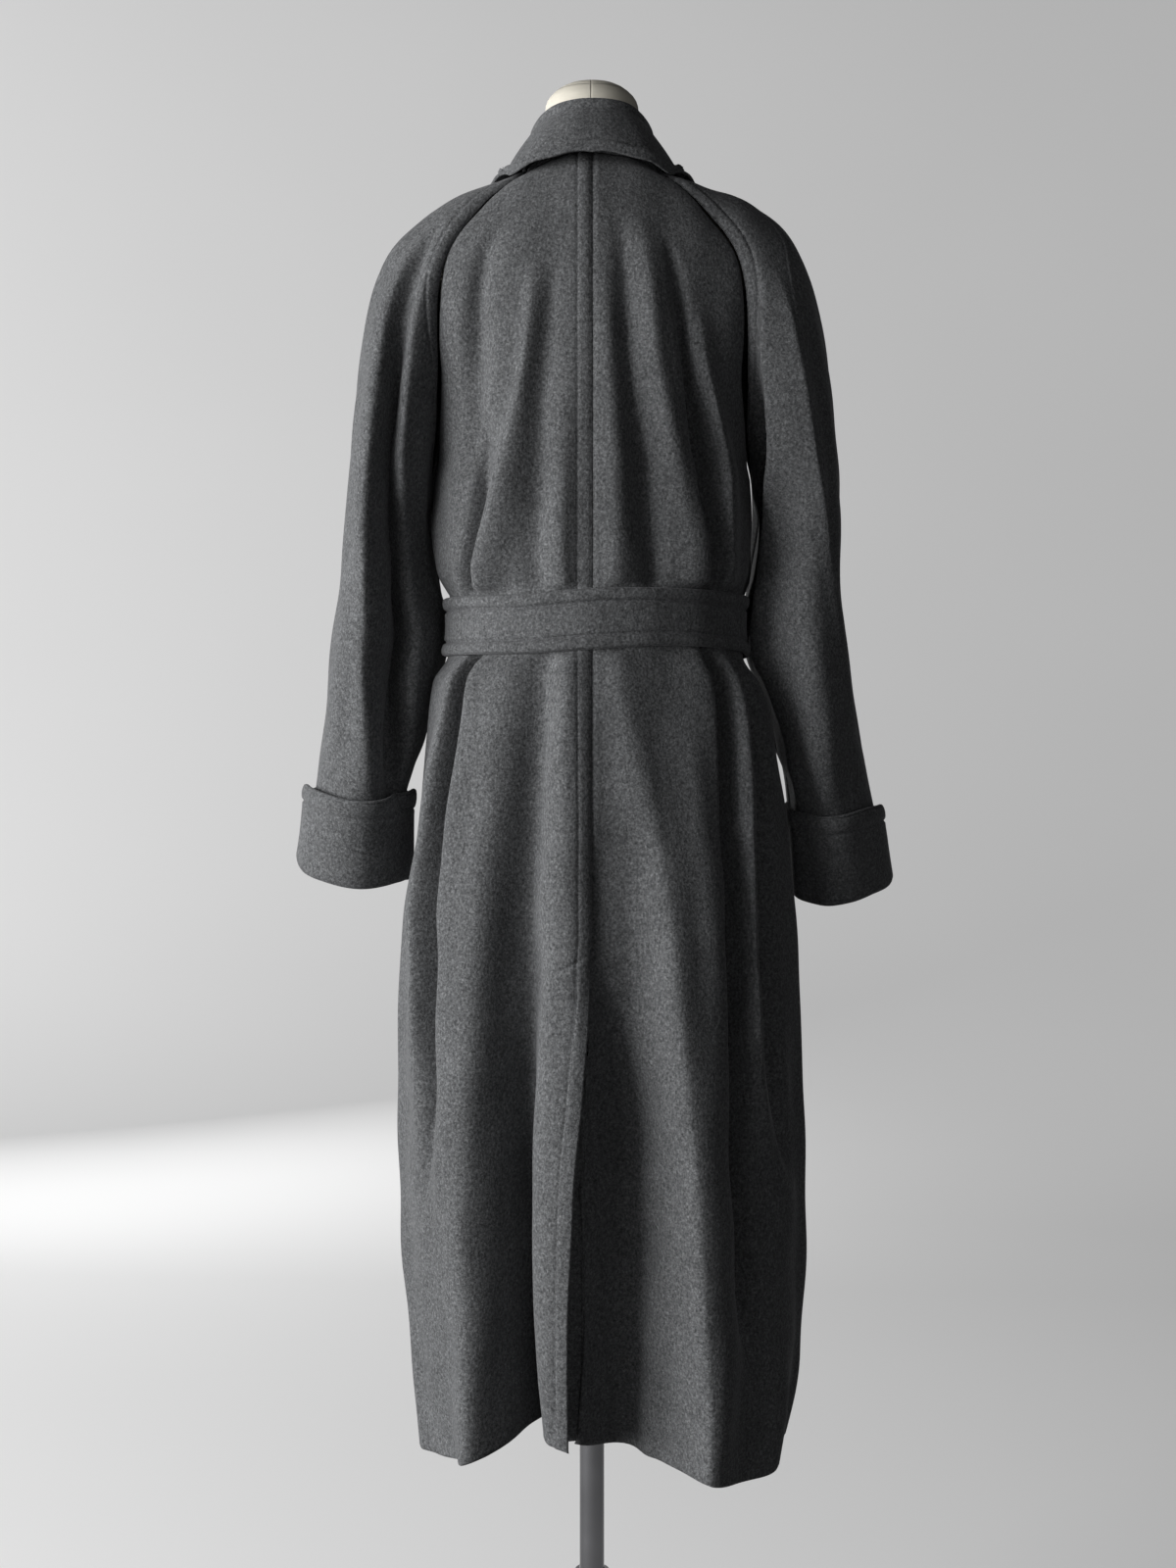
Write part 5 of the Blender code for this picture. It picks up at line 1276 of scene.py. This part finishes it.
def finish_hard(piece, material, nodes, angle=32):
    """A modelled piece made ready: smooth but for sharp edges, with its material and what it stands for."""
    select_only(piece)
    bpy.ops.object.shade_smooth_by_angle(angle=math.radians(angle))
    piece.data.materials.clear()
    piece.data.materials.append(material)
    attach(piece, "root")
    if nodes:
        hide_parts(*nodes)
    return piece


def make_button():
    """One coat button, face up at the origin: a raised rim, a dished middle and four holes."""
    profile = [
        (0.0120, 0.0), (0.0142, 0.0004), (0.0150, 0.0013), (0.0150, 0.0028), (0.0146, 0.0039),
        (0.0137, 0.0045), (0.0126, 0.0045), (0.0117, 0.0040), (0.0108, 0.0033), (0.0080, 0.0030),
        (0.0040, 0.0029),
    ]
    piece = turned("button_pattern", profile, 48)
    for x, y in ((1, 1), (1, -1), (-1, 1), (-1, -1)):
        deselect()
        bpy.ops.mesh.primitive_cylinder_add(
            vertices=14, radius=0.0011, depth=0.012, location=(x * HOLE_OUT, y * HOLE_OUT, 0.002)
        )
        hole = bpy.context.object
        select_only(piece)
        cut = piece.modifiers.new("hole", "BOOLEAN")
        cut.operation = "DIFFERENCE"
        cut.solver = "EXACT"
        cut.object = hole
        bpy.ops.object.modifier_apply(modifier="hole")
        bpy.data.objects.remove(hole)
    return piece


def make_buttons(button, thread):
    """The six buttons, copied from one, each with the two bars of thread that hold it."""
    pattern = make_button()
    deselect()
    for row, height in enumerate(BUTTON_HEIGHTS):
        for side, word in ((1, "left"), (-1, "right")):
            turn = -float(body_turn(row_at(height), side * BUTTON_X, -1))
            spots = turn + np.array([-0.6, 0, 0.6])
            rows = row_at(height + np.array([0.003, 0, -0.003]))[:, None]
            cloth = Cloth(body_point(spots, rows), 1)
            centre = Vector(cloth.points[1, 1])
            outward = Vector(cloth.out[1, 1] * (1 if cloth.out[1, 1, 1] < 0 else -1))
            right = outward.cross(Vector((0, 0, 1))).normalized()
            up = right.cross(outward)
            place = Matrix((right, up, outward)).transposed().to_4x4()
            place.translation = centre + outward * 0.0010
            name = f"button_{word}_{row + 1}_disc"
            piece = bpy.data.objects.new(name, pattern.data.copy())
            bpy.context.scene.collection.objects.link(piece)
            piece.data.transform(place)
            finish_hard(piece, button, [f"button_{word}_{row + 1}"])
            bars = []
            for at in (-1, 1):
                deselect()
                bpy.ops.mesh.primitive_cylinder_add(
                    vertices=10, radius=0.0006, depth=0.0052, location=(0, at * HOLE_OUT, 0.0031),
                    rotation=(0, math.pi / 2, 0),
                )
                bars.append(bpy.context.object)
            for bar in bars:
                bar.select_set(True)
            bpy.ops.object.join()
            bpy.ops.object.transform_apply(location=True, rotation=True, scale=True)
            bar = bpy.context.object
            bar.name = bar.data.name = f"button_{word}_{row + 1}_thread"
            bar.data.transform(place)
            finish_hard(bar, thread, [])
    bpy.data.objects.remove(pattern)


# The dress form by height: half width, and how far it reaches back and front.
FORM = Table(
    "height half_width back front",
    (0.905, 0.128, 0.070, -0.070),
    (0.930, 0.134, 0.074, -0.076),
    (1.000, 0.130, 0.074, -0.078),
    (1.080, 0.118, 0.068, -0.074),
    (1.140, 0.110, 0.066, -0.074),
    (1.220, 0.114, 0.072, -0.086),
    (1.310, 0.124, 0.084, -0.104),
    (1.400, 0.133, 0.090, -0.096),
    (1.455, 0.144, 0.086, -0.080),
    (1.490, 0.158, 0.070, -0.064),
    (1.510, 0.1470, 0.057, -0.053),
    (1.523, 0.1150, 0.051, -0.048),
    (1.533, 0.0900, 0.048, -0.046),
    (1.541, 0.0680, 0.046, -0.045),
    (1.551, 0.0520, 0.045, -0.044),
    (1.590, 0.045, 0.042, -0.043),
    (1.640, 0.044, 0.041, -0.042),
)


def make_form(canvas):
    """The limbless dress form: a torso covered in canvas, and the padded cap that closes its neck."""
    heights = np.concatenate([
        np.linspace(FORM_FOOT, 1.44, 44), np.linspace(1.45, 1.57, 25), np.linspace(1.575, 1.608, 8)
    ])
    rings = []
    for height in heights:
        wide, back, front = (float(FORM(column, height)) for column in ("half_width", "back", "front"))
        size = 0.955 + 0.045 * float(ease((height - FORM_FOOT) / 0.016))
        rings.append((wide * size, (back - front) / 2 * size, (back + front) / 2, float(height)))
    torso = ringed_piece("form_torso_cover", rings, 72)
    cap = ((0.965, 1.6090), (1.0, 1.6105), (1.0, 1.6160), (0.985, 1.6210), (0.955, 1.6250), (0.90, 1.6288),
           (0.80, 1.6332), (0.69, 1.6368), (0.57, 1.6395), (0.36, 1.6422), (0.18, 1.6434), (0.07, 1.6437))
    crown = ringed_piece("form_cap_cover", [(0.044 * s, 0.0415 * s, -0.0005, h) for s, h in cap], 72)
    finish_hard(torso, canvas, ["form_torso"], 60)
    finish_hard(crown, canvas, ["form_cap"], 60)


def make_stand(steel):
    """The round base plate, the pole and the tube that holds its foot."""
    base = turned("stand_base_plate", (
        (0.1850, 0.0), (0.1885, 0.0006), (0.1900, 0.0022), (0.1900, 0.0062), (0.1893, 0.0078),
        (0.1878, 0.0088), (0.1850, 0.0092), (0.0330, 0.0098), (0.0275, 0.0104), (0.0248, 0.0122),
        (0.0240, 0.0150), (0.0240, 0.0206), (0.0234, 0.0216), (0.0222, 0.0220),
    ), 96)
    pole = turned("stand_pole_rod", (
        (0.0108, 0.0224), (0.0115, 0.0230), (0.0115, 0.3000), (0.0115, 0.6000), (0.0115, 0.9040),
        (0.0108, 0.9046),
    ), 48)
    tube = turned("stand_tube_sleeve", (
        (0.0118, 0.0224), (0.0142, 0.0224), (0.0145, 0.0228), (0.0145, 0.2350), (0.0150, 0.2366),
        (0.0160, 0.2372), (0.0165, 0.2380), (0.0165, 0.2478), (0.0161, 0.2494), (0.0152, 0.2500),
        (0.0118, 0.2500),
    ), 48, closed=True)
    finish_hard(base, steel, ["stand_base"])
    finish_hard(pole, steel, ["stand_pole"])
    finish_hard(tube, steel, ["stand_tube"])


# Materials

def linear(colour):
    """A hex sRGB colour such as "4a4b4e" as linear red, green, blue and alpha."""
    parts = [int(colour[i:i + 2], 16) / 255 for i in (0, 2, 4)]
    return (*[part / 12.92 if part <= 0.04045 else ((part + 0.055) / 1.055) ** 2.4 for part in parts], 1.0)


MIX_A, MIX_B, MIX_RESULT = 6, 7, 2  # the sockets of a Mix node that are for colours


def add_node(tree, kind, inputs=(), **settings):
    """A shader node with its settings. Each input, by name or in order, is a value or a link: a node stands
    for its first output and (node, output) for another one."""
    node = tree.nodes.new(f"ShaderNode{kind}")
    for name, value in settings.items():
        setattr(node, name, value)
    for name, value in inputs.items() if isinstance(inputs, dict) else enumerate(inputs):
        source, output = (value[0], value[1]) if isinstance(value, tuple) else (value, 0)
        if isinstance(source, bpy.types.Node):
            tree.links.new(source.outputs[output], node.inputs[name])
        else:
            node.inputs[name].default_value = value
    return node


def new_material(name):
    """A material, its empty node tree and the link to the Object coordinates."""
    material = bpy.data.materials.new(name)
    material.use_nodes = True
    tree = material.node_tree
    tree.nodes.clear()
    return material, tree, (add_node(tree, "TexCoord"), "Object")


def shaded(material, **inputs):
    """The material with a Principled shader on those inputs."""
    named = {name.replace("_", " "): value for name, value in inputs.items()}
    add_node(material.node_tree, "OutputMaterial", [add_node(material.node_tree, "BsdfPrincipled", named)])
    return material


def wool_material():
    """Felted melton wool: light and dark fibres mixed into a speckle, a soft mottling where the nap lies
    differently, and a brushed nap that keeps highlights away and lightens grazing edges. Its fibres are
    drawn as flecks of about a millimetre, coarser than real ones, so that they show."""
    colours = bpy.context.scene.coat_colours
    material, tree, place = new_material("Charcoal melton wool")
    upright = add_node(tree, "Mapping", {"Vector": place, "Scale": (1.0, 1.0, 0.7)})
    level = add_node(tree, "Mapping", {"Vector": place, "Scale": (0.7, 0.8, 1.0)})
    fine, fibre_a, fibre_b, broad, wide = (
        add_node(tree, "TexNoise", {
            "Vector": at, "Scale": 0.5 / size, "Detail": detail, "Roughness": rough, "Distortion": bent,
        })
        for at, size, detail, rough, bent in (
            (place, 0.0008, 3.0, 0.7, 0.8),
            (upright, 0.0012, 2.0, 0.6, 0.0),
            (level, 0.0011, 1.0, 0.6, 0.0),
            (place, 0.014, 3.0, 0.55, 0.0),
            (place, 0.075, 2.0, 0.5, 0.0),
        )
    )
    light = 1.0
    for source, amount in ((fine, 0.62), (fibre_a, 0.40), (broad, 0.07), (wide, 0.05)):
        swing = add_node(tree, "MapRange", [source, 0.30, 0.70, 1 - amount, 1 + amount])
        light = add_node(tree, "Math", [light, swing], operation="MULTIPLY")
    dark, pale = linear(hexed(colours.wool_dark)), linear(hexed(colours.wool_light))
    shades = {"Factor": fibre_b, MIX_A: dark, MIX_B: pale}
    tint = add_node(tree, "Mix", shades, data_type="RGBA"), MIX_RESULT
    nap = add_node(tree, "Bump", {"Strength": 0.80, "Distance": 0.0007, "Height": fibre_a})
    return shaded(
        material,
        Base_Color=add_node(tree, "VectorMath", {0: tint, "Scale": light}, operation="SCALE"),
        Normal=add_node(tree, "Bump", {"Strength": 0.35, "Distance": 0.0009, "Height": broad, "Normal": nap}),
        Roughness=add_node(tree, "MapRange", [broad, 0.3, 0.7, 0.92, 0.99]),
        Specular_IOR_Level=0.18, Sheen_Weight=0.12, Sheen_Roughness=0.45, Sheen_Tint=linear("d8d8dc"),
    )


def hexed(colour):
    """A colour property, which holds sRGB parts, as a hex string."""
    return "".join(f"{round(part * 255):02x}" for part in colour[:3])


def thread_material():
    """Matt spun thread a little darker than the wool, with the faint bands of its twist, drawn coarser than
    real ones."""
    material, tree, place = new_material("Charcoal topstitch thread")
    twist = add_node(tree, "TexNoise", {
        "Vector": place, "Scale": 0.5 / 0.0006, "Detail": 1.0, "Roughness": 0.5,
    })
    shades = {"Factor": twist, MIX_A: linear("38393c"), MIX_B: linear("5c5d60")}
    tone = add_node(tree, "Mix", shades, data_type="RGBA"), MIX_RESULT
    bump = add_node(tree, "Bump", {"Strength": 0.4, "Distance": 0.0002, "Height": twist})
    return shaded(material, Base_Color=tone, Normal=bump, Roughness=0.75)


def canvas_material():
    """Close cotton canvas over the form: a plain weave of one millimetre, a little coarser than a real one's
    so that it shows, slightly uneven cream, and the sewn seam down the centre back with the rim seam under
    the cap's edge."""
    colours = bpy.context.scene.coat_colours
    material, tree, place = new_material("Cream cotton canvas")
    parts = add_node(tree, "SeparateXYZ", [place])
    waves = []
    for axis in ("X", "Z"):
        turn = add_node(tree, "Math", [(parts, axis), 2 * math.pi / CANVAS_PITCH], operation="MULTIPLY")
        waves.append(add_node(tree, "Math", [turn], operation="SINE"))
    weave = add_node(tree, "Math", waves, operation="MULTIPLY")
    upright = add_node(tree, "Mapping", {"Vector": place, "Scale": (0.3, 0.3, 1.0)})
    slub = add_node(tree, "TexNoise", {
        "Vector": upright, "Scale": 0.5 / 0.003, "Detail": 3.0, "Roughness": 0.6,
    })
    broad = add_node(tree, "TexNoise", {
        "Vector": place, "Scale": 0.5 / 0.03, "Detail": 2.0, "Roughness": 0.5,
    })
    light = 1.0
    for limits in (
        (weave, -1, 1, 0.965, 1.025), (slub, 0.3, 0.7, 0.95, 1.04), (broad, 0.3, 0.7, 0.97, 1.02)
    ):
        swing = add_node(tree, "MapRange", limits)
        light = add_node(tree, "Math", [light, swing], operation="MULTIPLY")
    line = 1.0
    for axis, at in (("X", 0.0008), ("Z", 1.6335)):
        away = add_node(tree, "Math", [(parts, axis), at], operation="SUBTRACT")
        size = add_node(tree, "Math", [away], operation="ABSOLUTE")
        seam_line = add_node(tree, "MapRange", [size, 0.0002, 0.0009, 0.0, 1.0])
        line = add_node(tree, "Math", [line, seam_line], operation="MULTIPLY")
    dark = add_node(tree, "MapRange", [line, 0.0, 1.0, 0.72, 1.0])
    light = add_node(tree, "Math", [light, dark], operation="MULTIPLY")
    cream = linear(hexed(colours.canvas))[:3]
    threads = add_node(tree, "Bump", {"Strength": 0.35, "Distance": 0.0003, "Height": weave})
    return shaded(
        material,
        Base_Color=add_node(tree, "VectorMath", {0: cream, "Scale": light}, operation="SCALE"),
        Normal=add_node(
            tree, "Bump", {"Strength": 0.8, "Distance": 0.0008, "Height": line, "Normal": threads}
        ),
        Roughness=0.86, Specular_IOR_Level=0.25,
    )


def button_material():
    """Polished horn-like resin: near black with faint cloudy streaks that a soft gloss lies over."""
    material, tree, place = new_material("Charcoal resin button")
    upright = add_node(tree, "Mapping", {"Vector": place, "Scale": (1.0, 1.0, 0.4)})
    cloud = add_node(tree, "TexNoise", {
        "Vector": upright, "Scale": 0.5 / 0.006, "Detail": 4.0, "Roughness": 0.6,
    })
    fine = add_node(tree, "TexNoise", {
        "Vector": place, "Scale": 0.5 / 0.0008, "Detail": 2.0, "Roughness": 0.5,
    })
    shades = {"Factor": cloud, MIX_A: linear("1d1c1d"), MIX_B: linear("4b4846")}
    tone = add_node(tree, "Mix", shades, data_type="RGBA"), MIX_RESULT
    return shaded(
        material, Base_Color=tone,
        Normal=add_node(tree, "Bump", {"Strength": 0.15, "Distance": 0.0002, "Height": cloud}),
        Roughness=add_node(tree, "MapRange", [fine, 0.3, 0.7, 0.24, 0.36]),
    )


def steel_material():
    """Brushed steel: bright, with fine lines round the turned parts, drawn coarser than real ones, and soft
    smears of handling."""
    material, tree, place = new_material("Brushed steel")
    level = add_node(tree, "Mapping", {"Vector": place, "Scale": (0.05, 0.05, 1.0)})
    lines = add_node(tree, "TexNoise", {
        "Vector": level, "Scale": 0.5 / 0.0007, "Detail": 2.0, "Roughness": 0.6,
    })
    smear = add_node(tree, "TexNoise", {
        "Vector": place, "Scale": 0.5 / 0.04, "Detail": 3.0, "Roughness": 0.55,
    })
    shades = {"Factor": smear, MIX_A: linear("545456"), MIX_B: linear("747476")}
    tone = add_node(tree, "Mix", shades, data_type="RGBA"), MIX_RESULT
    ranges = (smear, 0.3, 0.7, 0.10, 0.17), (lines, 0.3, 0.7, -0.04, 0.04)
    return shaded(
        material, Base_Color=tone, Metallic=1.0,
        Normal=add_node(tree, "Bump", {"Strength": 0.10, "Distance": 0.0001, "Height": lines}),
        Roughness=add_node(
            tree, "Math", [add_node(tree, "MapRange", limits) for limits in ranges], operation="ADD"
        ),
    )


def backdrop_material():
    """Matt studio paper, pale grey and only just uneven."""
    material, tree, place = new_material("Pale studio paper")
    broad = add_node(tree, "TexNoise", {
        "Vector": place, "Scale": 0.5 / 0.9, "Detail": 2.0, "Roughness": 0.5,
    })
    shades = {"Factor": broad, MIX_A: linear("d2d2d2"), MIX_B: linear("d8d8d8")}
    tone = add_node(tree, "Mix", shades, data_type="RGBA"), MIX_RESULT
    return shaded(
        material, Base_Color=tone, Emission_Color=tone, Emission_Strength=0.29, Roughness=0.95,
        Specular_IOR_Level=0.1,
    )


def material_of(name):
    """The coat's materials, made when they are first asked for."""
    makers = {
        "Charcoal melton wool": wool_material,
        "Charcoal topstitch thread": thread_material,
        "Cream cotton canvas": canvas_material,
        "Charcoal resin button": button_material,
        "Brushed steel": steel_material,
        "Pale studio paper": backdrop_material,
    }
    return bpy.data.materials.get(name) or makers[name]()


WOOL, THREAD = "Charcoal melton wool", "Charcoal topstitch thread"


# Stage

def area_light(name, place, target, size, power):
    """A white area light at a place, turned to its target."""
    light = bpy.data.lights.new(name, "AREA")
    light.shape = "RECTANGLE"
    light.size, light.size_y = size
    light.energy = power
    lamp = bpy.data.objects.new(name, light)
    lamp.location = place
    lamp.rotation_euler = (Vector(target) - Vector(place)).to_track_quat("-Z", "Y").to_euler()
    lamp.visible_camera = False
    bpy.context.scene.collection.objects.link(lamp)
    return lamp


def make_stage():
    """A round pale floor that curves up into a low wall, soft light mainly from the wearer's left, and the
    camera."""
    scene = bpy.context.scene
    bend = [
        (3.0 + 4.0 * math.sin(angle), 4.0 - 4.0 * math.cos(angle))
        for angle in np.radians(np.linspace(0, 90, 25))
    ]
    profile = [(0.02, 0), (0.6, 0), (2.5, 0), *bend]
    profile = [(radius, height - STAGE_UNDER) for radius, height in profile] + [(7.0, 4.8)]
    floor = turned("studio_floor", profile[::-1], 96)
    select_only(floor)
    bpy.ops.object.mode_set(mode="EDIT")
    bpy.ops.mesh.select_mode(type="FACE")
    bpy.ops.mesh.select_all(action="DESELECT")
    bpy.ops.object.mode_set(mode="OBJECT")
    for face in floor.data.polygons:
        face.select = len(face.vertices) > 4 and face.center.z > 4
    bpy.ops.object.mode_set(mode="EDIT")
    bpy.ops.mesh.delete(type="FACE")
    bpy.ops.mesh.select_all(action="SELECT")
    bpy.ops.mesh.flip_normals()
    bpy.ops.object.mode_set(mode="OBJECT")
    bpy.ops.object.shade_smooth()
    floor.data.materials.clear()
    floor.data.materials.append(material_of("Pale studio paper"))
    floor.visible_diffuse = False
    key = area_light("key_light", (3.08, 1.18, 1.25), (0.0, 0.0, 1.0), (3.0, 1.9), 208)
    soft = area_light("soft_light", (2.3, 2.6, 1.5), (0.0, 0.0, 1.0), (1.4, 1.8), 18)
    fill = area_light("fill_light", (-0.9, 3.8, 1.0), (0.0, 0.0, 1.0), (2.2, 2.0), 12)
    wall = area_light("wall_light", (2.8, -2.4, 3.2), (2.4, -7.0, 3.3), (3.2, 3.2), 130)
    front = area_light("front_light", (1.5, -3.3, 1.5), (0.0, 0.0, 1.0), (2.4, 2.0), 45)
    world = bpy.data.worlds.new("pale_room")
    world.use_nodes = True
    world.node_tree.nodes["Background"].inputs["Color"].default_value = linear("dfe0e2")
    world.node_tree.nodes["Background"].inputs["Strength"].default_value = 0.03
    scene.world = world
    scene.view_settings.view_transform = "Standard"
    lens = bpy.data.cameras.new("camera")
    lens.lens = 50
    lens.sensor_width = 36
    camera = bpy.data.objects.new("camera", lens)
    camera.location = (0.0037, 2.044, 0.986)
    camera.rotation_euler = (math.radians(90), 0, math.radians(180))
    scene.collection.objects.link(camera)
    scene.camera = camera


# The add-on

def length_property(name, description, metres):
    """A size setting in metres."""
    return FloatProperty(name=name, description=description, default=metres, unit="LENGTH")


class CoatSizes(PropertyGroup):
    wall: length_property("Cloth thickness", "Thickness of the wool cloth", 0.0025)
    welt: length_property("Topstitch distance", "From an edge or seam to its topstitching", 0.0125)
    collar_welt: length_property(
        "Collar topstitch distance", "From the collar's edge to its topstitching", 0.0132
    )
    belt_welt: length_property(
        "Belt topstitch distance", "From the belt's edges to its topstitching", 0.0125
    )
    belt_thick: length_property("Belt thickness", "How far the belt's face stands off the coat", 0.0042)
    welt_height: length_property("Edge fullness", "How far a topstitched edge stands out", 0.0008)
    groove: length_property("Stitch depth", "How deep a line of topstitching pulls in", 0.0011)
    stitch: length_property("Stitch length", "Length of one stitch", 0.0040)
    thread: length_property("Thread thickness", "Diameter of the topstitch thread", 0.0005)


def colour_property(name, description, colour):
    """A colour setting whose default is a hex sRGB colour."""
    default = tuple(int(colour[i:i + 2], 16) / 255 for i in (0, 2, 4))
    return FloatVectorProperty(
        name=name, description=description, subtype="COLOR_GAMMA", size=3, min=0, max=1, default=default
    )


class CoatColours(PropertyGroup):
    wool_dark: colour_property("Dark wool fibres", "The darker fibres mixed into the wool", "3c3d3f")
    wool_light: colour_property("Light wool fibres", "The lighter fibres mixed into the wool", "666768")
    canvas: colour_property("Form canvas", "The canvas that covers the dress form", "d0cbbe")


def declare_all(pieces, nodes, cuts, extras=()):
    """Sheets of the coat ride on the one body and stand for their nodes, whose imported copies are hidden.
    The cuts they were made from are not used. Their stitches only ride."""
    for piece, node, (flat, area) in zip(pieces, nodes, cuts):
        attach(piece, "root")
        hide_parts(node)
    for extra in extras:
        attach(extra, "root")


class COAT_OT_backs(Operator):
    """Make both halves of the back"""

    bl_idname = "coat.backs"
    bl_label = "Backs"

    def execute(self, context):
        left, right, stitches = make_backs(material_of(WOOL), material_of(THREAD))
        declare_all(
            (left, right), ("back_left", "back_right"), (((0.50, 1.17), 0.42), ((0.53, 1.17), 0.44)),
            (stitches,),
        )
        return {"FINISHED"}


class COAT_OT_fronts(Operator):
    """Make both fronts, lapped over each other"""

    bl_idname = "coat.fronts"
    bl_label = "Fronts"

    def execute(self, context):
        left, right, stitches = make_fronts(material_of(WOOL), material_of(THREAD))
        declare_all(
            (left, right), ("front_left", "front_right"), (((0.50, 1.17), 0.44), ((0.50, 1.17), 0.44)),
            (stitches,),
        )
        return {"FINISHED"}


class COAT_OT_lapels(Operator):
    """Make the lapels that turn over from the fronts"""

    bl_idname = "coat.lapels"
    bl_label = "Lapels"

    def execute(self, context):
        lapels = make_lapels(material_of(WOOL))
        declare_all(
            lapels, ("lapel_left", "lapel_right"), (((0.10, 0.30), 0.010), ((0.10, 0.30), 0.018)),
        )
        return {"FINISHED"}


class COAT_OT_sleeves(Operator):
    """Make the raglan sleeves, each of a back and a front half"""

    bl_idname = "coat.sleeves"
    bl_label = "Sleeves"

    def execute(self, context):
        *halves, stitches = make_sleeves(material_of(WOOL), material_of(THREAD))
        nodes = [f"sleeve_{word}_{half}" for word in ("left", "right") for half in ("back", "front")]
        cuts = (((0.26, 0.72), 0.13), ((0.24, 0.72), 0.12)) * 2
        declare_all(halves, nodes, cuts, (stitches,))
        return {"FINISHED"}


class COAT_OT_cuffs(Operator):
    """Make the turned-back cuffs"""

    bl_idname = "coat.cuffs"
    bl_label = "Cuffs"

    def execute(self, context):
        *cuffs, stitches = make_cuffs(material_of(WOOL), material_of(THREAD))
        cuts = (((0.52, 0.115), 0.058),) * 2
        declare_all(cuffs, ("cuff_left", "cuff_right"), cuts, (stitches,))
        return {"FINISHED"}


class COAT_OT_collar(Operator):
    """Make the collar"""

    bl_idname = "coat.collar"
    bl_label = "Collar"

    def execute(self, context):
        collar, stitches = make_collar(material_of(WOOL), material_of(THREAD))
        declare_all((collar,), ("collar",), (((0.50, 0.16), 0.066),), (stitches,))
        return {"FINISHED"}


class COAT_OT_belt(Operator):
    """Make the belt round the waist, its knot and its two ends"""

    bl_idname = "coat.belt"
    bl_label = "Belt"

    def execute(self, context):
        belt, stitches = make_belt(material_of(WOOL), material_of(THREAD))
        knot, left, right = make_belt_ties(material_of(WOOL))
        cuts = (((0.98, 0.056), 0.054), ((0.046, 0.30), 0.0128), ((0.046, 0.325), 0.0139))
        declare_all(
            (belt, left, right), ("belt", "belt_end_left", "belt_end_right"), cuts,
            (stitches,),
        )
        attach(knot, "root")
        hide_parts("belt_knot")
        return {"FINISHED"}


class COAT_OT_buttons(Operator):
    """Make the six buttons"""

    bl_idname = "coat.buttons"
    bl_label = "Buttons"

    def execute(self, context):
        make_buttons(material_of("Charcoal resin button"), material_of(THREAD))
        return {"FINISHED"}


class COAT_OT_form(Operator):
    """Make the dress form"""

    bl_idname = "coat.form"
    bl_label = "Dress Form"

    def execute(self, context):
        make_form(material_of("Cream cotton canvas"))
        return {"FINISHED"}


class COAT_OT_stand(Operator):
    """Make the pole stand"""

    bl_idname = "coat.stand"
    bl_label = "Stand"

    def execute(self, context):
        make_stand(material_of("Brushed steel"))
        return {"FINISHED"}


class COAT_OT_stage(Operator):
    """Make the studio floor, its light and the camera"""

    bl_idname = "coat.stage"
    bl_label = "Stage"

    def execute(self, context):
        make_stage()
        return {"FINISHED"}


OPERATORS = (
    COAT_OT_backs, COAT_OT_fronts, COAT_OT_lapels, COAT_OT_sleeves, COAT_OT_cuffs, COAT_OT_collar,
    COAT_OT_belt, COAT_OT_buttons, COAT_OT_form, COAT_OT_stand, COAT_OT_stage,
)


class COAT_PT_panel(Panel):
    """Lists the coat's settings and pieces"""

    bl_label = "Double-Breasted Coat"
    bl_idname = "COAT_PT_panel"
    bl_space_type = "VIEW_3D"
    bl_region_type = "UI"
    bl_category = "Coat"

    def draw(self, context):
        for settings in (context.scene.coat_sizes, context.scene.coat_colours):
            box = self.layout.box()
            for name in settings.__annotations__:
                box.prop(settings, name)
        for operator in OPERATORS:
            self.layout.operator(operator.bl_idname)


def register():
    for kind in (CoatSizes, CoatColours, *OPERATORS, COAT_PT_panel):
        bpy.utils.register_class(kind)
    bpy.types.Scene.coat_sizes = PointerProperty(type=CoatSizes)
    bpy.types.Scene.coat_colours = PointerProperty(type=CoatColours)


def unregister():
    del bpy.types.Scene.coat_colours
    del bpy.types.Scene.coat_sizes
    for kind in (COAT_PT_panel, *OPERATORS, CoatColours, CoatSizes):
        bpy.utils.unregister_class(kind)


def main():
    register()
    for operator in OPERATORS:
        getattr(bpy.ops.coat, operator.bl_idname.split(".")[1])()


if __name__ == "__main__":
    main()
